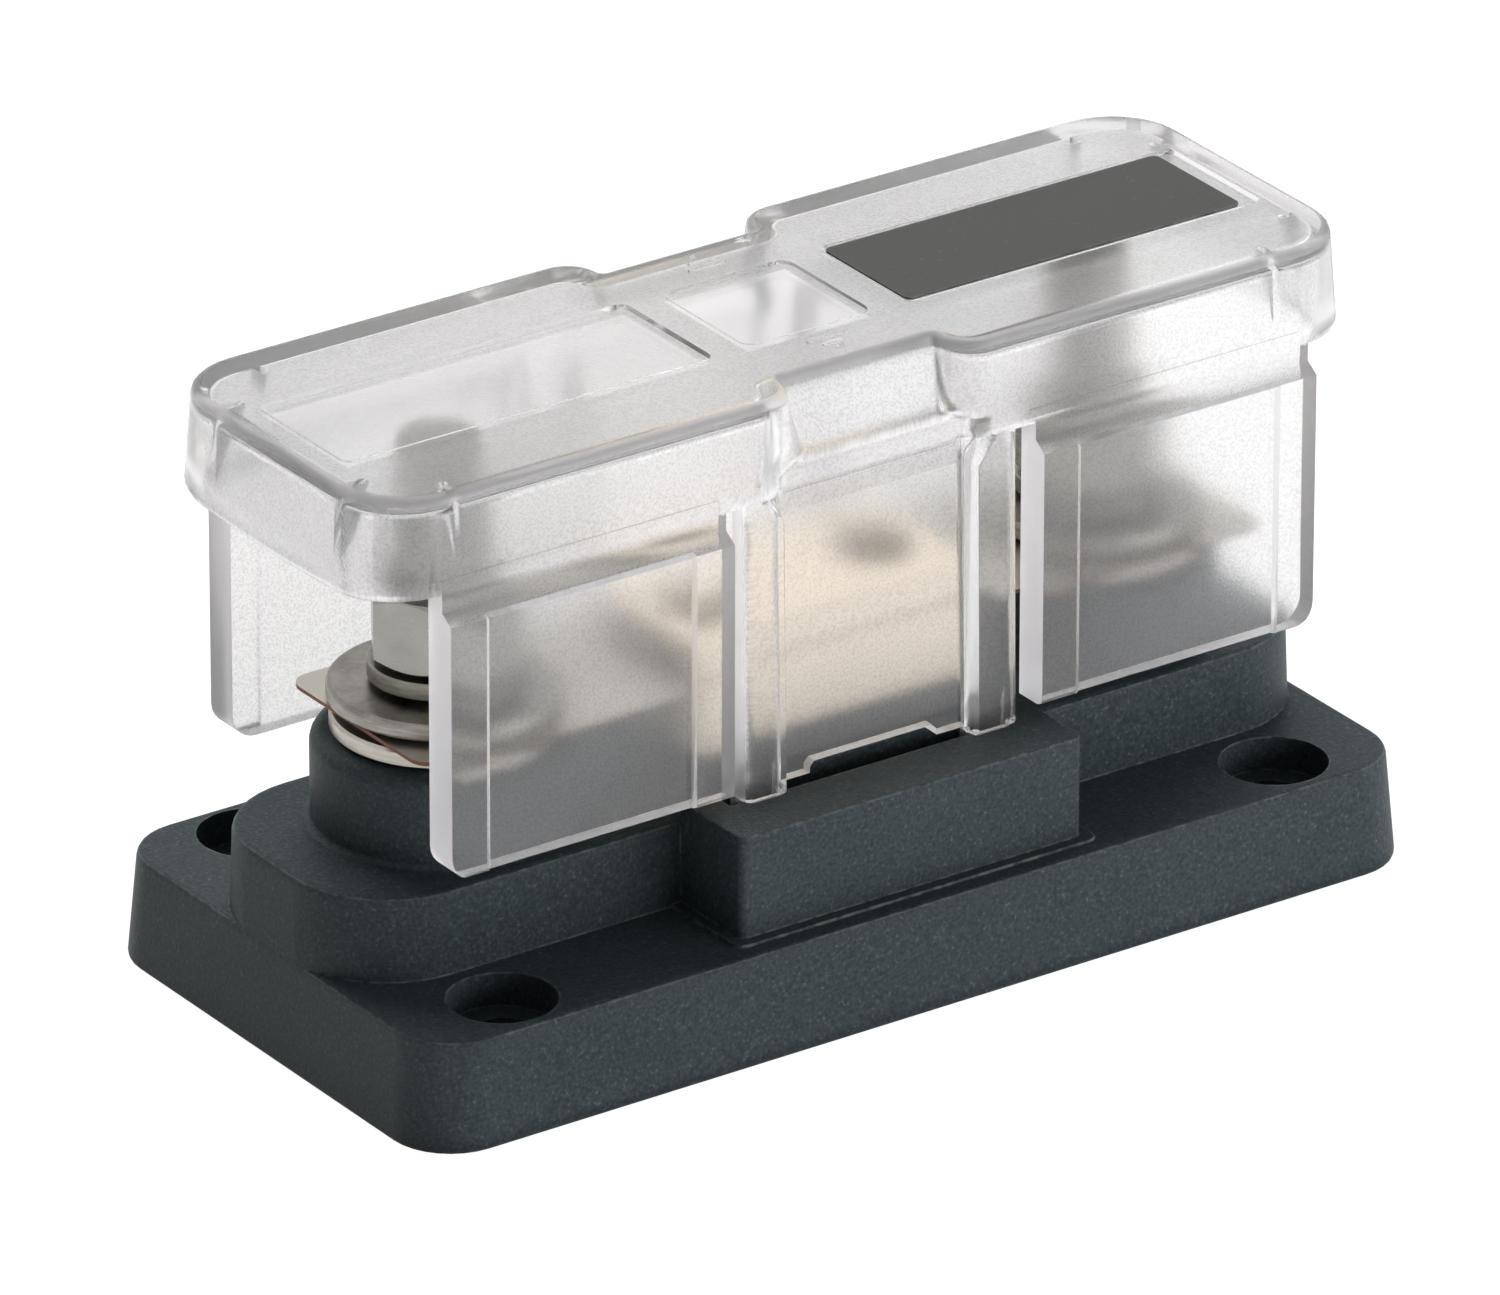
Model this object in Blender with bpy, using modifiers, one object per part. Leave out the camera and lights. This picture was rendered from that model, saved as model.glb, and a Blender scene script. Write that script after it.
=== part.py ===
"""ANL fuse holder: black base with two terminal studs, bolt-down fuse and clear clip-on cover.

Metres, +Z up, the length along X, the origin at the middle of the underside.
"""

import math

import bmesh
import bpy
from mathutils import Matrix

MM = 0.001
EMBED = 0.5 * MM
PASS = 2.0 * MM
FIT = 0.3 * MM

# Base plate
PLATE_HALF_LENGTH = 65.0 * MM
PLATE_TOP = 12.76 * MM
PLATE_DRAFT = 0.87 * MM
PLATE_CORNER = 7.4 * MM
MOULDED_EDGE = 0.6 * MM

# Spine along the middle of the base, and the flange that stands out on both sides of it
SPINE_SETBACK = 0.8 * MM
SPINE_HALF_LENGTH = PLATE_HALF_LENGTH - SPINE_SETBACK
SPINE_HALF_WIDTH = 16.65 * MM
SPINE_FOOT = 6.0 * MM
SPINE_RISE = 9.74 * MM
SPINE_TOP = PLATE_TOP + SPINE_RISE
SPINE_DRAFT = 0.45 * MM
SPINE_CORNER = 12.0 * MM
SPINE_EDGE = 0.8 * MM
FLANGE_WIDTH = 15.45 * MM
PLATE_HALF_WIDTH = SPINE_HALF_WIDTH + FLANGE_WIDTH

# Round pedestals
STUD_INSET = 22.8 * MM
STUD_X = PLATE_HALF_LENGTH - STUD_INSET
PEDESTAL_RADIUS = 14.0 * MM
PEDESTAL_RISE = 10.4 * MM
PEDESTAL_TOP = SPINE_TOP + PEDESTAL_RISE
PEDESTAL_ROUND = 1.6 * MM
PEDESTAL_FILLET = 0.8 * MM

# Latch ledges, each with a slot along its back
LEDGE_HALF_LENGTH = 22.35 * MM
LEDGE_REACH = 11.1 * MM
LEDGE_FRONT = SPINE_HALF_WIDTH + LEDGE_REACH
LEDGE_SINK = 1.05 * MM
LEDGE_ROOT = SPINE_HALF_WIDTH - LEDGE_SINK
LEDGE_RISE = 12.2 * MM
LEDGE_TOP = PLATE_TOP + LEDGE_RISE
LEDGE_CORNER = 1.0 * MM
LEDGE_EDGE = 0.3 * MM
LEDGE_FOOT_WIDTH = 1.3 * MM
LEDGE_FOOT_HEIGHT = 0.3 * MM
SLOT_END_WALL = 3.65 * MM
SLOT_HALF_LENGTH = LEDGE_HALF_LENGTH - SLOT_END_WALL
SLOT_SINK = 0.35 * MM
SLOT_INNER = SPINE_HALF_WIDTH - SLOT_SINK
SLOT_WIDTH = 4.1 * MM
SLOT_OUTER = SLOT_INNER + SLOT_WIDTH
SLOT_FLOOR_RISE = 1.24 * MM
SLOT_FLOOR = PLATE_TOP + SLOT_FLOOR_RISE

# Counterbored screw holes
SCREW_INSET = 14.4 * MM
SCREW_X = PLATE_HALF_LENGTH - SCREW_INSET
SCREW_OFFSET = 7.45 * MM
SCREW_Y = SPINE_HALF_WIDTH + SCREW_OFFSET
SCREW_HEAD_RADIUS = 6.03 * MM
SCREW_HEAD_DEPTH = 3.96 * MM
SCREW_HEAD_FLOOR = PLATE_TOP - SCREW_HEAD_DEPTH
SCREW_HOLE_RADIUS = 3.3 * MM

# Terminal studs and their plugs
STUD_RADIUS = 4.75 * MM
STUD_LENGTH = 33.6 * MM
STUD_TOP = PEDESTAL_TOP + STUD_LENGTH
STUD_DOME = 1.5 * MM
STUD_HEAD_FLAT = 14.3 * MM
STUD_HEAD_BOTTOM = 3.0 * MM
STUD_HEAD_HEIGHT = 6.0 * MM
STUD_HEAD_TOP = STUD_HEAD_BOTTOM + STUD_HEAD_HEIGHT
PLUG_BOTTOM = 0.2 * MM
PLUG_EDGE = 0.3 * MM
BORE_RADIUS = STUD_RADIUS + FIT
BORE_TURN = 0.06
POCKET_FLAT = STUD_HEAD_FLAT + 2.0 * FIT
STACK_CLEARANCE = 0.4 * MM
STACK_BORE_RADIUS = STUD_RADIUS + STACK_CLEARANCE

# Pockets in the underside, in rows between the middle and the next hole
POCKET_CORNER = 1.2 * MM
POCKET_LENGTH = 11.6 * MM
POCKET_START = 7.2 * MM
POCKET_PITCH = 14.0 * MM
POCKET_CLEARANCE = 3.0 * MM
SIDE_POCKET_RIB = 1.95 * MM
SIDE_POCKET_WALL = 1.9 * MM
SIDE_POCKET_INNER = SPINE_HALF_WIDTH + SIDE_POCKET_RIB
SIDE_POCKET_OUTER = PLATE_HALF_WIDTH - SIDE_POCKET_WALL
SIDE_POCKET_ROOF = 2.56 * MM
SIDE_POCKET_CEILING = PLATE_TOP - SIDE_POCKET_ROOF
SIDE_POCKET_LIMIT = SCREW_X - SCREW_HEAD_RADIUS - POCKET_CLEARANCE
SPINE_POCKET_INNER = 1.6 * MM
SPINE_POCKET_WALL = 3.45 * MM
SPINE_POCKET_OUTER = SPINE_HALF_WIDTH - SPINE_POCKET_WALL
SPINE_POCKET_ROOF = 2.9 * MM
SPINE_POCKET_CEILING = SPINE_TOP - SPINE_POCKET_ROOF
SPINE_POCKET_LIMIT = STUD_X - POCKET_FLAT / math.sqrt(3.0) - POCKET_CLEARANCE

# Stack on each stud, from the pedestal up
PLATE_RADIUS = 11.9 * MM
PLATE_THICK = 2.0 * MM
STRIP_THICK = 0.8 * MM
RING_EDGE = 0.3 * MM
WASHER_RADIUS = 12.2 * MM
WASHER_THICK = 2.0 * MM
SPRING_RADIUS = 7.8 * MM
SPRING_WIRE = 2.0 * MM
SPRING_RISE = 0.6 * MM
SPRING_SWEEP = 345.0
NUT_FLAT = 14.3 * MM
NUT_HEIGHT = 8.3 * MM
NUT_CHAMFER = 0.9 * MM
NUT_CHAMFER_INSET = 0.1 * MM
NUT_TURN_LEFT = 28.0
NUT_TURN_RIGHT = 9.0
CONTACT_BOTTOM = PEDESTAL_TOP + FIT
STRIP_BOTTOM = CONTACT_BOTTOM + PLATE_THICK + FIT
STRIP_TOP = STRIP_BOTTOM + STRIP_THICK
WASHER_BOTTOM = STRIP_TOP + FIT
SPRING_BOTTOM = WASHER_BOTTOM + WASHER_THICK + FIT
NUT_BOTTOM = SPRING_BOTTOM + SPRING_WIRE + SPRING_RISE + FIT

# Fuse
FUSE_CENTRE = 1.75 * MM
STRIP_REACH = 11.85 * MM
STRIP_HALF_LENGTH = STUD_X + STRIP_REACH
STRIP_HALF_WIDTH = 11.5 * MM
STRIP_CORNER = 4.0 * MM
STRIP_NECK = 7.0 * MM
STRIP_LINK = 3.4 * MM
STRIP_LINK_END = 5.5 * MM
STRIP_LINK_RUN = 1.0 * MM
SLOT_TRAVEL = 2.6 * MM
BODY_HALF_LENGTH = 18.25 * MM
BODY_HALF_WIDTH = 10.0 * MM
BODY_BELOW_STRIP = 8.8 * MM
BODY_ABOVE_STRIP = 3.5 * MM
BODY_BOTTOM = STRIP_BOTTOM - BODY_BELOW_STRIP
BODY_TOP = STRIP_TOP + BODY_ABOVE_STRIP
BODY_CORNER = 1.5 * MM
BODY_EDGE = 0.3 * MM
STRIP_FLARE_INSET = 0.15 * MM
STRIP_FLARE_RUN = 1.5 * MM
STRIP_FLARE_START = BODY_HALF_LENGTH - STRIP_FLARE_INSET
STRIP_FLARE_END = STRIP_FLARE_START + STRIP_FLARE_RUN
RIVET_INSET = 7.0 * MM
RIVET_X = BODY_HALF_LENGTH - RIVET_INSET
RIVET_RADIUS = 2.2 * MM
RIVET_HEAD_RADIUS = 4.2 * MM
RIVET_HEAD = 1.0 * MM
RIVET_CROWN_RADIUS = 2.5 * MM
RIVET_RIM = 0.4 * MM

# Cover: lobes
HEADROOM = 5.0 * MM
COVER_TOP = STUD_TOP + HEADROOM
COVER_ROUND = 1.0 * MM
CAP_DEPTH = 12.8 * MM
LIP_MIDDLE = COVER_TOP - CAP_DEPTH
LIP_RISE = 1.1 * MM
LIP_ROUND = 1.2 * MM
LIP_SETBACK = 0.9 * MM
LOBE_END_DRAFT = 0.7 * MM
LOBE_END_LIP = PLATE_HALF_LENGTH - LIP_SETBACK
LOBE_END_TOP = LOBE_END_LIP - LOBE_END_DRAFT
LOBE_OVERHANG = 5.15 * MM
LOBE_SIDE_DRAFT = 0.6 * MM
LOBE_SIDE_LIP = SPINE_HALF_WIDTH + LOBE_OVERHANG
LOBE_SIDE_TOP = LOBE_SIDE_LIP - LOBE_SIDE_DRAFT
LOBE_CORNER = 8.5 * MM
ROOF_THICK = 2.5 * MM
END_WALL_THICK = 2.5 * MM
SIDE_WALL_LIP = 2.7 * MM
SIDE_WALL_TOP = 2.4 * MM
CAVITY_TOP = COVER_TOP - ROOF_THICK
CAVITY_END = LOBE_END_LIP - END_WALL_THICK
CAVITY_SIDE_TOP = LOBE_SIDE_TOP - SIDE_WALL_TOP
CAVITY_SIDE_LIP = LOBE_SIDE_LIP - SIDE_WALL_LIP
CAVITY_CORNER = 6.0 * MM
CAVITY_ROUND = 0.8 * MM

# Cover: waist, with a press face and a finger stop on both sides
WAIST_SETBACK = 2.1 * MM
WAIST_LOW = LOBE_SIDE_LIP - WAIST_SETBACK
WAIST_LOW_HALF = 10.9 * MM
PRESS_LEAN = 2.9 * MM
PRESS_SINK = 0.2 * MM
PRESS_FOOT = WAIST_LOW - PRESS_SINK
WAIST_TOP = PRESS_FOOT - PRESS_LEAN
PRESS_FOOT_RISE = 5.2 * MM
PRESS_FOOT_Z = LIP_MIDDLE + PRESS_FOOT_RISE
PRESS_HALF_TOP = 9.5 * MM
PRESS_HALF_FOOT = 8.4 * MM
SHOULDER_TOP = 14.2 * MM
SHOULDER_FOOT = 14.5 * MM
PRESS_SIDE_SHARE = 0.10
WAIST_SIDE_SHARE = 0.42
STOP_STEP = 0.5 * MM
STOP_FACE = PRESS_FOOT + STOP_STEP
STOP_TOP_DROP = 0.2 * MM
STOP_TOP_Z = PRESS_FOOT_Z - STOP_TOP_DROP
STOP_HEIGHT = 0.95 * MM
STOP_BOTTOM_Z = STOP_TOP_Z - STOP_HEIGHT
STOP_FADE = 0.4 * MM
STOP_FADE_Z = STOP_BOTTOM_Z - STOP_FADE
STOP_LOW_HALF = 9.4 * MM
WAIST_WALL_LOW = 2.4 * MM
WAIST_WALL_FOOT = 2.57 * MM
WAIST_WALL_TOP = 1.61 * MM
CAVITY_WAIST_LOW = WAIST_LOW - WAIST_WALL_LOW
CAVITY_WAIST_LOW_HALF = 11.5 * MM
CAVITY_SHOULDER_LOW = 15.5 * MM
CAVITY_WAIST_FOOT = PRESS_FOOT - WAIST_WALL_FOOT
CAVITY_WAIST_FOOT_HALF = 10.8 * MM
CAVITY_SHOULDER_FOOT = 15.2 * MM
CAVITY_WAIST_TOP = WAIST_TOP - WAIST_WALL_TOP
CAVITY_WAIST_TOP_HALF = 10.2 * MM
CAVITY_SHOULDER_TOP = 15.0 * MM

# Cover: recesses in the top
RECESS_INNER = 12.6 * MM
RECESS_BORDER = 3.9 * MM
RECESS_OUTER = LOBE_END_TOP - RECESS_BORDER
RECESS_HALF_WIDTH = 8.5 * MM
RECESS_DEPTH = 0.6 * MM
RECESS_CORNER = 1.0 * MM
SQUARE_HALF = 8.2 * MM
SQUARE_DEPTH = 0.4 * MM
SQUARE_CORNER = 1.5 * MM
LABEL_SIDE_GAP = 0.6 * MM
LABEL_END_GAP = 2.4 * MM
LABEL_START = RECESS_INNER + FIT
LABEL_END = RECESS_OUTER - LABEL_END_GAP
LABEL_HALF_WIDTH = RECESS_HALF_WIDTH - LABEL_SIDE_GAP
LABEL_THICK = 0.3 * MM
LABEL_CORNER = 0.8 * MM

# Cover: side panels
PANEL_START = 20.1 * MM
PANEL_END_INSET = 7.9 * MM
PANEL_END = LOBE_END_LIP - PANEL_END_INSET
PANEL_GAP = 4.7 * MM
PANEL_BOTTOM = SPINE_TOP + PANEL_GAP
PANEL_OFFSET = 2.3 * MM
PANEL_INNER = SPINE_HALF_WIDTH + PANEL_OFFSET
PANEL_THICK = 4.25 * MM
PANEL_OUTER = PANEL_INNER + PANEL_THICK
PANEL_NECK_THICK = 2.6 * MM
PANEL_NECK = PANEL_INNER + PANEL_NECK_THICK
PANEL_NECK_DROP = 0.5 * MM
PANEL_NECK_Z = LIP_MIDDLE - PANEL_NECK_DROP
PANEL_SLOPE = 1.1 * MM
PANEL_SHOULDER = PANEL_NECK_Z - PANEL_SLOPE
PANEL_SINK = 2.9 * MM
PANEL_BURIED = LIP_MIDDLE + PANEL_SINK
PANEL_ROUND = 3.0 * MM
PANEL_EDGE = 0.9 * MM
PANEL_EDGE_KNEE = 0.27 * MM
PANEL_BORDER = 4.8 * MM
PANEL_RECESS_START = PANEL_START + PANEL_BORDER
PANEL_RECESS_END = PANEL_END - PANEL_BORDER
PANEL_RECESS_DEPTH = 1.1 * MM
PANEL_RECESS_DROP = 0.1 * MM
PANEL_RECESS_TOP = PANEL_SHOULDER - PANEL_RECESS_DROP

# Cover: latch tongues
LATCH_GAP = 0.29 * MM
TONGUE_END_GAP = 0.9 * MM
TONGUE_HALF = SLOT_HALF_LENGTH - TONGUE_END_GAP
TONGUE_ROUND = 1.0 * MM
TONGUE_BOTTOM = LEDGE_TOP + LATCH_GAP
TONGUE_EDGE = 0.5 * MM
TONGUE_STRAIGHT_DROP = 1.7 * MM
TONGUE_STRAIGHT_TOP = LIP_MIDDLE - TONGUE_STRAIGHT_DROP
TONGUE_SPREAD_RISE = 1.5 * MM
TONGUE_SPREAD_Z = LIP_MIDDLE + TONGUE_SPREAD_RISE
TONGUE_STEP = 1.0 * MM
TONGUE_SHUT_Z = TONGUE_SPREAD_Z + TONGUE_STEP
TONGUE_BURIED = TONGUE_SHUT_Z + TONGUE_STEP
COLUMN_START = 12.2 * MM
COLUMN_RISE_START = 11.9 * MM
COLUMN_RISE_END = 12.7 * MM
COLUMN_SPREAD_START = 11.3 * MM
COLUMN_SPREAD_END = 15.0 * MM
COLUMN_FLARE = 0.4 * MM
COLUMN_HEAD_INSET = 0.1 * MM
COLUMN_FOOT = LOBE_SIDE_LIP + COLUMN_FLARE
COLUMN_HEAD = LOBE_SIDE_LIP - COLUMN_HEAD_INSET
WEB_FOOT_STEP = 1.9 * MM
WEB_HEAD_STEP = 2.35 * MM
WEB_FOOT = COLUMN_FOOT - WEB_FOOT_STEP
WEB_HEAD = COLUMN_HEAD - WEB_HEAD_STEP
WEB_THICK = 2.2 * MM
WEB_LIFT = 0.75 * MM
WEB_BOTTOM = TONGUE_BOTTOM + WEB_LIFT
NOTCH_HALF = 8.3 * MM
NOTCH_HEIGHT = 1.3 * MM
NOTCH_TOP = WEB_BOTTOM + NOTCH_HEIGHT
NOTCH_CORNER = 0.6 * MM
HOOK_SIDE_INSET = 0.8 * MM
HOOK_START = COLUMN_START + HOOK_SIDE_INSET
HOOK_END = TONGUE_HALF - HOOK_SIDE_INSET
HOOK_INNER_GAP = 1.6 * MM
HOOK_OUTER_GAP = 0.4 * MM
HOOK_INNER = SLOT_INNER + HOOK_INNER_GAP
HOOK_OUTER = SLOT_OUTER - HOOK_OUTER_GAP
HOOK_FLOOR_GAP = 5.0 * MM
HOOK_BOTTOM = SLOT_FLOOR + HOOK_FLOOR_GAP
HOOK_ROOT = 2.75 * MM
HOOK_TOP = TONGUE_BOTTOM + HOOK_ROOT
HOOK_LEAN = 2.0 * MM
HOOK_TIP_INSET = (0.8 * MM, 0.4 * MM)
HOOK_TIP_RISE = (1.5 * MM, 1.0 * MM)

# Cover: gussets inside the lobes
GUSSET_THICK = 1.0 * MM
GUSSET_DEPTH = 2.7 * MM
GUSSET_HEIGHT = 7.8 * MM
GUSSET_FOOT = CAVITY_TOP - GUSSET_HEIGHT
GUSSET_END_Y = 11.75 * MM
GUSSET_SIDE_INSET = 8.6 * MM
GUSSET_SIDE_X = CAVITY_END - GUSSET_SIDE_INSET

ROUND_STEPS = 48
ARC_STEPS = 6


def clear_scene():
    for obj in list(bpy.data.objects):
        bpy.data.objects.remove(obj)
    for collection in list(bpy.data.collections):
        bpy.data.collections.remove(collection)


clear_scene()
HOLDER = bpy.data.collections.new("anl_fuse_holder")
CUTTERS = bpy.data.collections.new("cutters")
bpy.context.scene.collection.children.link(HOLDER)
bpy.context.scene.collection.children.link(CUTTERS)


def make_material(name, colour, roughness, metallic=0.0, alpha=1.0):
    material = bpy.data.materials.new(name)
    material.use_nodes = True
    shader = material.node_tree.nodes["Principled BSDF"]
    shader.inputs["Base Color"].default_value = (*colour, 1.0)
    shader.inputs["Roughness"].default_value = roughness
    shader.inputs["Metallic"].default_value = metallic
    shader.inputs["Alpha"].default_value = alpha
    return material


# General shape helpers

def finish_mesh(name, shape):
    """Mesh from a bmesh, with its doubles merged and its faces turned outward."""
    bmesh.ops.remove_doubles(shape, verts=shape.verts, dist=0.00001)
    bmesh.ops.recalc_face_normals(shape, faces=shape.faces)
    mesh = bpy.data.meshes.new(name)
    shape.to_mesh(mesh)
    shape.free()
    return mesh


def add_object(name, mesh, collection):
    obj = bpy.data.objects.new(name, mesh)
    collection.objects.link(obj)
    if collection == CUTTERS:
        obj.hide_render = True
        obj.display_type = "WIRE"
    return obj


def block(name, low, high, draft=0.0, collection=CUTTERS):
    """Box from one corner to the other, its top drawn in by the draft."""
    shape = bmesh.new()
    centre = [(a + b) / 2.0 for a, b in zip(low, high)]
    size = [b - a for a, b in zip(low, high)]
    matrix = Matrix.Translation(centre) @ Matrix.Diagonal((*size, 1.0))
    bmesh.ops.create_cube(shape, size=1.0, matrix=matrix)
    for vertex in shape.verts:
        if vertex.co.z > centre[2]:
            vertex.co.x -= math.copysign(draft, vertex.co.x - centre[0])
            vertex.co.y -= math.copysign(draft, vertex.co.y - centre[1])
    return add_object(name, finish_mesh(name, shape), collection)


def weigh_upright_edges(obj):
    """Marks the edges that run from the bottom to the top, for the corner bevel."""
    mesh = obj.data
    weights = mesh.attributes.new("bevel_weight_edge", "FLOAT", "EDGE")
    for edge in mesh.edges:
        first, second = (mesh.vertices[i].co for i in edge.vertices)
        if abs(first.z - second.z) > 0.0001:
            weights.data[edge.index].value = 1.0


def round_corners(obj, radius, steps=ARC_STEPS):
    weigh_upright_edges(obj)
    bevel = obj.modifiers.new("corners", "BEVEL")
    bevel.limit_method = "WEIGHT"
    bevel.width = radius
    bevel.segments = steps


def round_edges(obj, radius, steps=2, angle=50.0):
    bevel = obj.modifiers.new("edges", "BEVEL")
    bevel.limit_method = "ANGLE"
    bevel.angle_limit = math.radians(angle)
    bevel.width = radius
    bevel.segments = steps


def turned(name, profile, place=(0.0, 0.0), collection=CUTTERS, steps=ROUND_STEPS):
    """Solid turned about the upright axis, from points of radius and height, top first."""
    shape = bmesh.new()
    points = [shape.verts.new((radius, 0.0, height)) for radius, height in profile]
    pairs = list(zip(points, points[1:]))
    if profile[0][0] > 0.0:
        pairs.append((points[-1], points[0]))
    for first, second in pairs:
        shape.edges.new((first, second))
    mesh = bpy.data.meshes.new(name)
    shape.to_mesh(mesh)
    shape.free()
    obj = add_object(name, mesh, collection)
    obj.location = (*place, 0.0)
    screw = obj.modifiers.new("turn", "SCREW")
    screw.steps = steps
    screw.render_steps = steps
    screw.use_merge_vertices = True
    screw.merge_threshold = 0.00001
    smooth(obj)
    return obj


def smooth(obj):
    for polygon in obj.data.polygons:
        polygon.use_smooth = True


def hexagon(name, across_flats, bottom, top, turn, place=(0.0, 0.0), collection=CUTTERS):
    """Six-sided prism with one corner turned to the angle."""
    shape = bmesh.new()
    matrix = Matrix.Translation((0.0, 0.0, (bottom + top) / 2.0))
    matrix = matrix @ Matrix.Rotation(math.radians(turn), 4, "Z")
    radius = across_flats / math.sqrt(3.0)
    bmesh.ops.create_cone(
        shape,
        cap_ends=True,
        segments=6,
        radius1=radius,
        radius2=radius,
        depth=top - bottom,
        matrix=matrix,
    )
    obj = add_object(name, finish_mesh(name, shape), collection)
    obj.location = (*place, 0.0)
    return obj


def flat_shape(name, outlines, thickness, placing, collection=CUTTERS):
    """Plate cut to the outlines, centred on its own plane, then placed."""
    curve = bpy.data.curves.new(name, "CURVE")
    curve.dimensions = "2D"
    curve.fill_mode = "BOTH"
    curve.extrude = thickness / 2.0
    for outline in outlines:
        spline = curve.splines.new("POLY")
        spline.points.add(len(outline) - 1)
        for point, (across, up) in zip(spline.points, outline):
            point.co = (across, up, 0.0, 1.0)
        spline.use_cyclic_u = True
    drawn = bpy.data.objects.new(name + "_outline", curve)
    CUTTERS.objects.link(drawn)
    graph = bpy.context.evaluated_depsgraph_get()
    mesh = bpy.data.meshes.new_from_object(drawn.evaluated_get(graph))
    bpy.data.objects.remove(drawn)
    bpy.data.curves.remove(curve)
    shape = bmesh.new()
    shape.from_mesh(mesh)
    bpy.data.meshes.remove(mesh)
    shape.transform(placing)
    return add_object(name, finish_mesh(name, shape), collection)


def upright(height):
    """Placing that lays an outline level with its middle at the height."""
    return Matrix.Translation((0.0, 0.0, height))


def across_length(x):
    """Placing that reads an outline as width and height, at one place along the length."""
    return Matrix(((0, 0, 1, x), (1, 0, 0, 0), (0, 1, 0, 0), (0, 0, 0, 1)))


def across_width(y):
    """Placing that reads an outline as length and height, at one place across the width."""
    return Matrix(((1, 0, 0, 0), (0, 0, 1, y), (0, 1, 0, 0), (0, 0, 0, 1)))


def arc(centre, radius, start, end, steps=ARC_STEPS):
    points = []
    for step in range(steps + 1):
        angle = math.radians(start + (end - start) * step / steps)
        x = centre[0] + radius * math.cos(angle)
        y = centre[1] + radius * math.sin(angle)
        points.append((x, y))
    return points


def rounded_rectangle(low, high, radius, steps=4):
    points = arc((high[0] - radius, high[1] - radius), radius, 0.0, 90.0, steps)
    points += arc((low[0] + radius, high[1] - radius), radius, 90.0, 180.0, steps)
    points += arc((low[0] + radius, low[1] + radius), radius, 180.0, 270.0, steps)
    points += arc((high[0] - radius, low[1] + radius), radius, 270.0, 360.0, steps)
    return points


def loft(name, loops, collection=CUTTERS):
    """Closed skin through loops of equal count, closed over at both ends."""
    shape = bmesh.new()
    rings = [[shape.verts.new(point) for point in loop] for loop in loops]
    count = len(rings[0])
    for lower, upper in zip(rings, rings[1:]):
        for i in range(count):
            following = (i + 1) % count
            shape.faces.new((lower[i], lower[following], upper[following], upper[i]))
    shape.faces.new(rings[0])
    shape.faces.new(rings[-1])
    return add_object(name, finish_mesh(name, shape), collection)


def mirror(obj, along_x=False, along_y=False):
    modifier = obj.modifiers.new("mirror", "MIRROR")
    modifier.use_axis = (along_x, along_y, False)
    modifier.use_mirror_merge = False


def combine(obj, other, operation):
    modifier = obj.modifiers.new(operation.lower() + "_" + other.name, "BOOLEAN")
    modifier.operation = operation
    modifier.solver = "EXACT"
    modifier.object = other


def give_material(obj, material):
    obj.data.materials.clear()
    obj.data.materials.append(material)


# Base: plate, spine, pedestals and latch ledges, then its holes and pockets

def base_plate():
    low = (-PLATE_HALF_LENGTH, -PLATE_HALF_WIDTH, 0.0)
    high = (PLATE_HALF_LENGTH, PLATE_HALF_WIDTH, PLATE_TOP)
    plate = block("base", low, high, PLATE_DRAFT, HOLDER)
    round_corners(plate, PLATE_CORNER, 8)
    round_edges(plate, MOULDED_EDGE)
    return plate


def base_spine():
    low = (-SPINE_HALF_LENGTH, -SPINE_HALF_WIDTH, SPINE_FOOT)
    high = (SPINE_HALF_LENGTH, SPINE_HALF_WIDTH, SPINE_TOP)
    spine = block("spine", low, high, SPINE_DRAFT)
    round_corners(spine, SPINE_CORNER, 10)
    round_edges(spine, SPINE_EDGE)
    return spine


def base_pedestal():
    """Right pedestal: rounded top rim, straight side and a small fillet at its foot."""
    rim = PEDESTAL_TOP - PEDESTAL_ROUND
    crown = PEDESTAL_RADIUS - PEDESTAL_ROUND
    foot = SPINE_TOP + PEDESTAL_FILLET
    profile = [(0.0, PEDESTAL_TOP)]
    profile += list(reversed(arc((crown, rim), PEDESTAL_ROUND, 0.0, 90.0, 4)))
    skirt = arc((PEDESTAL_RADIUS + PEDESTAL_FILLET, foot), PEDESTAL_FILLET, 180.0, 270.0, 3)
    profile += skirt
    profile.append((PEDESTAL_RADIUS + PEDESTAL_FILLET, SPINE_TOP - PASS))
    profile.append((0.0, SPINE_TOP - PASS))
    return turned("pedestal", profile)


def base_ledge():
    low = (-LEDGE_HALF_LENGTH, LEDGE_ROOT, PLATE_TOP - PASS)
    high = (LEDGE_HALF_LENGTH, LEDGE_FRONT, LEDGE_TOP)
    ledge = block("ledge", low, high)
    round_corners(ledge, LEDGE_CORNER, 4)
    round_edges(ledge, LEDGE_EDGE)
    mirror(ledge, along_y=True)
    return ledge


def ledge_slot():
    """Slot behind the ledge that takes the hooks of the latch tongue."""
    low = (-SLOT_HALF_LENGTH, SLOT_INNER, SLOT_FLOOR)
    high = (SLOT_HALF_LENGTH, SLOT_OUTER, LEDGE_TOP + PASS)
    slot = block("ledge_slot", low, high)
    mirror(slot, along_y=True)
    return slot


def ledge_foot():
    """Low step on the plate around the ledge."""
    half = LEDGE_HALF_LENGTH + LEDGE_FOOT_WIDTH
    low = (-half, LEDGE_ROOT, PLATE_TOP - PASS)
    high = (half, LEDGE_FRONT + LEDGE_FOOT_WIDTH, PLATE_TOP + LEDGE_FOOT_HEIGHT)
    foot = block("ledge_foot", low, high)
    round_corners(foot, LEDGE_FOOT_WIDTH, 3)
    mirror(foot, along_y=True)
    return foot


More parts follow.
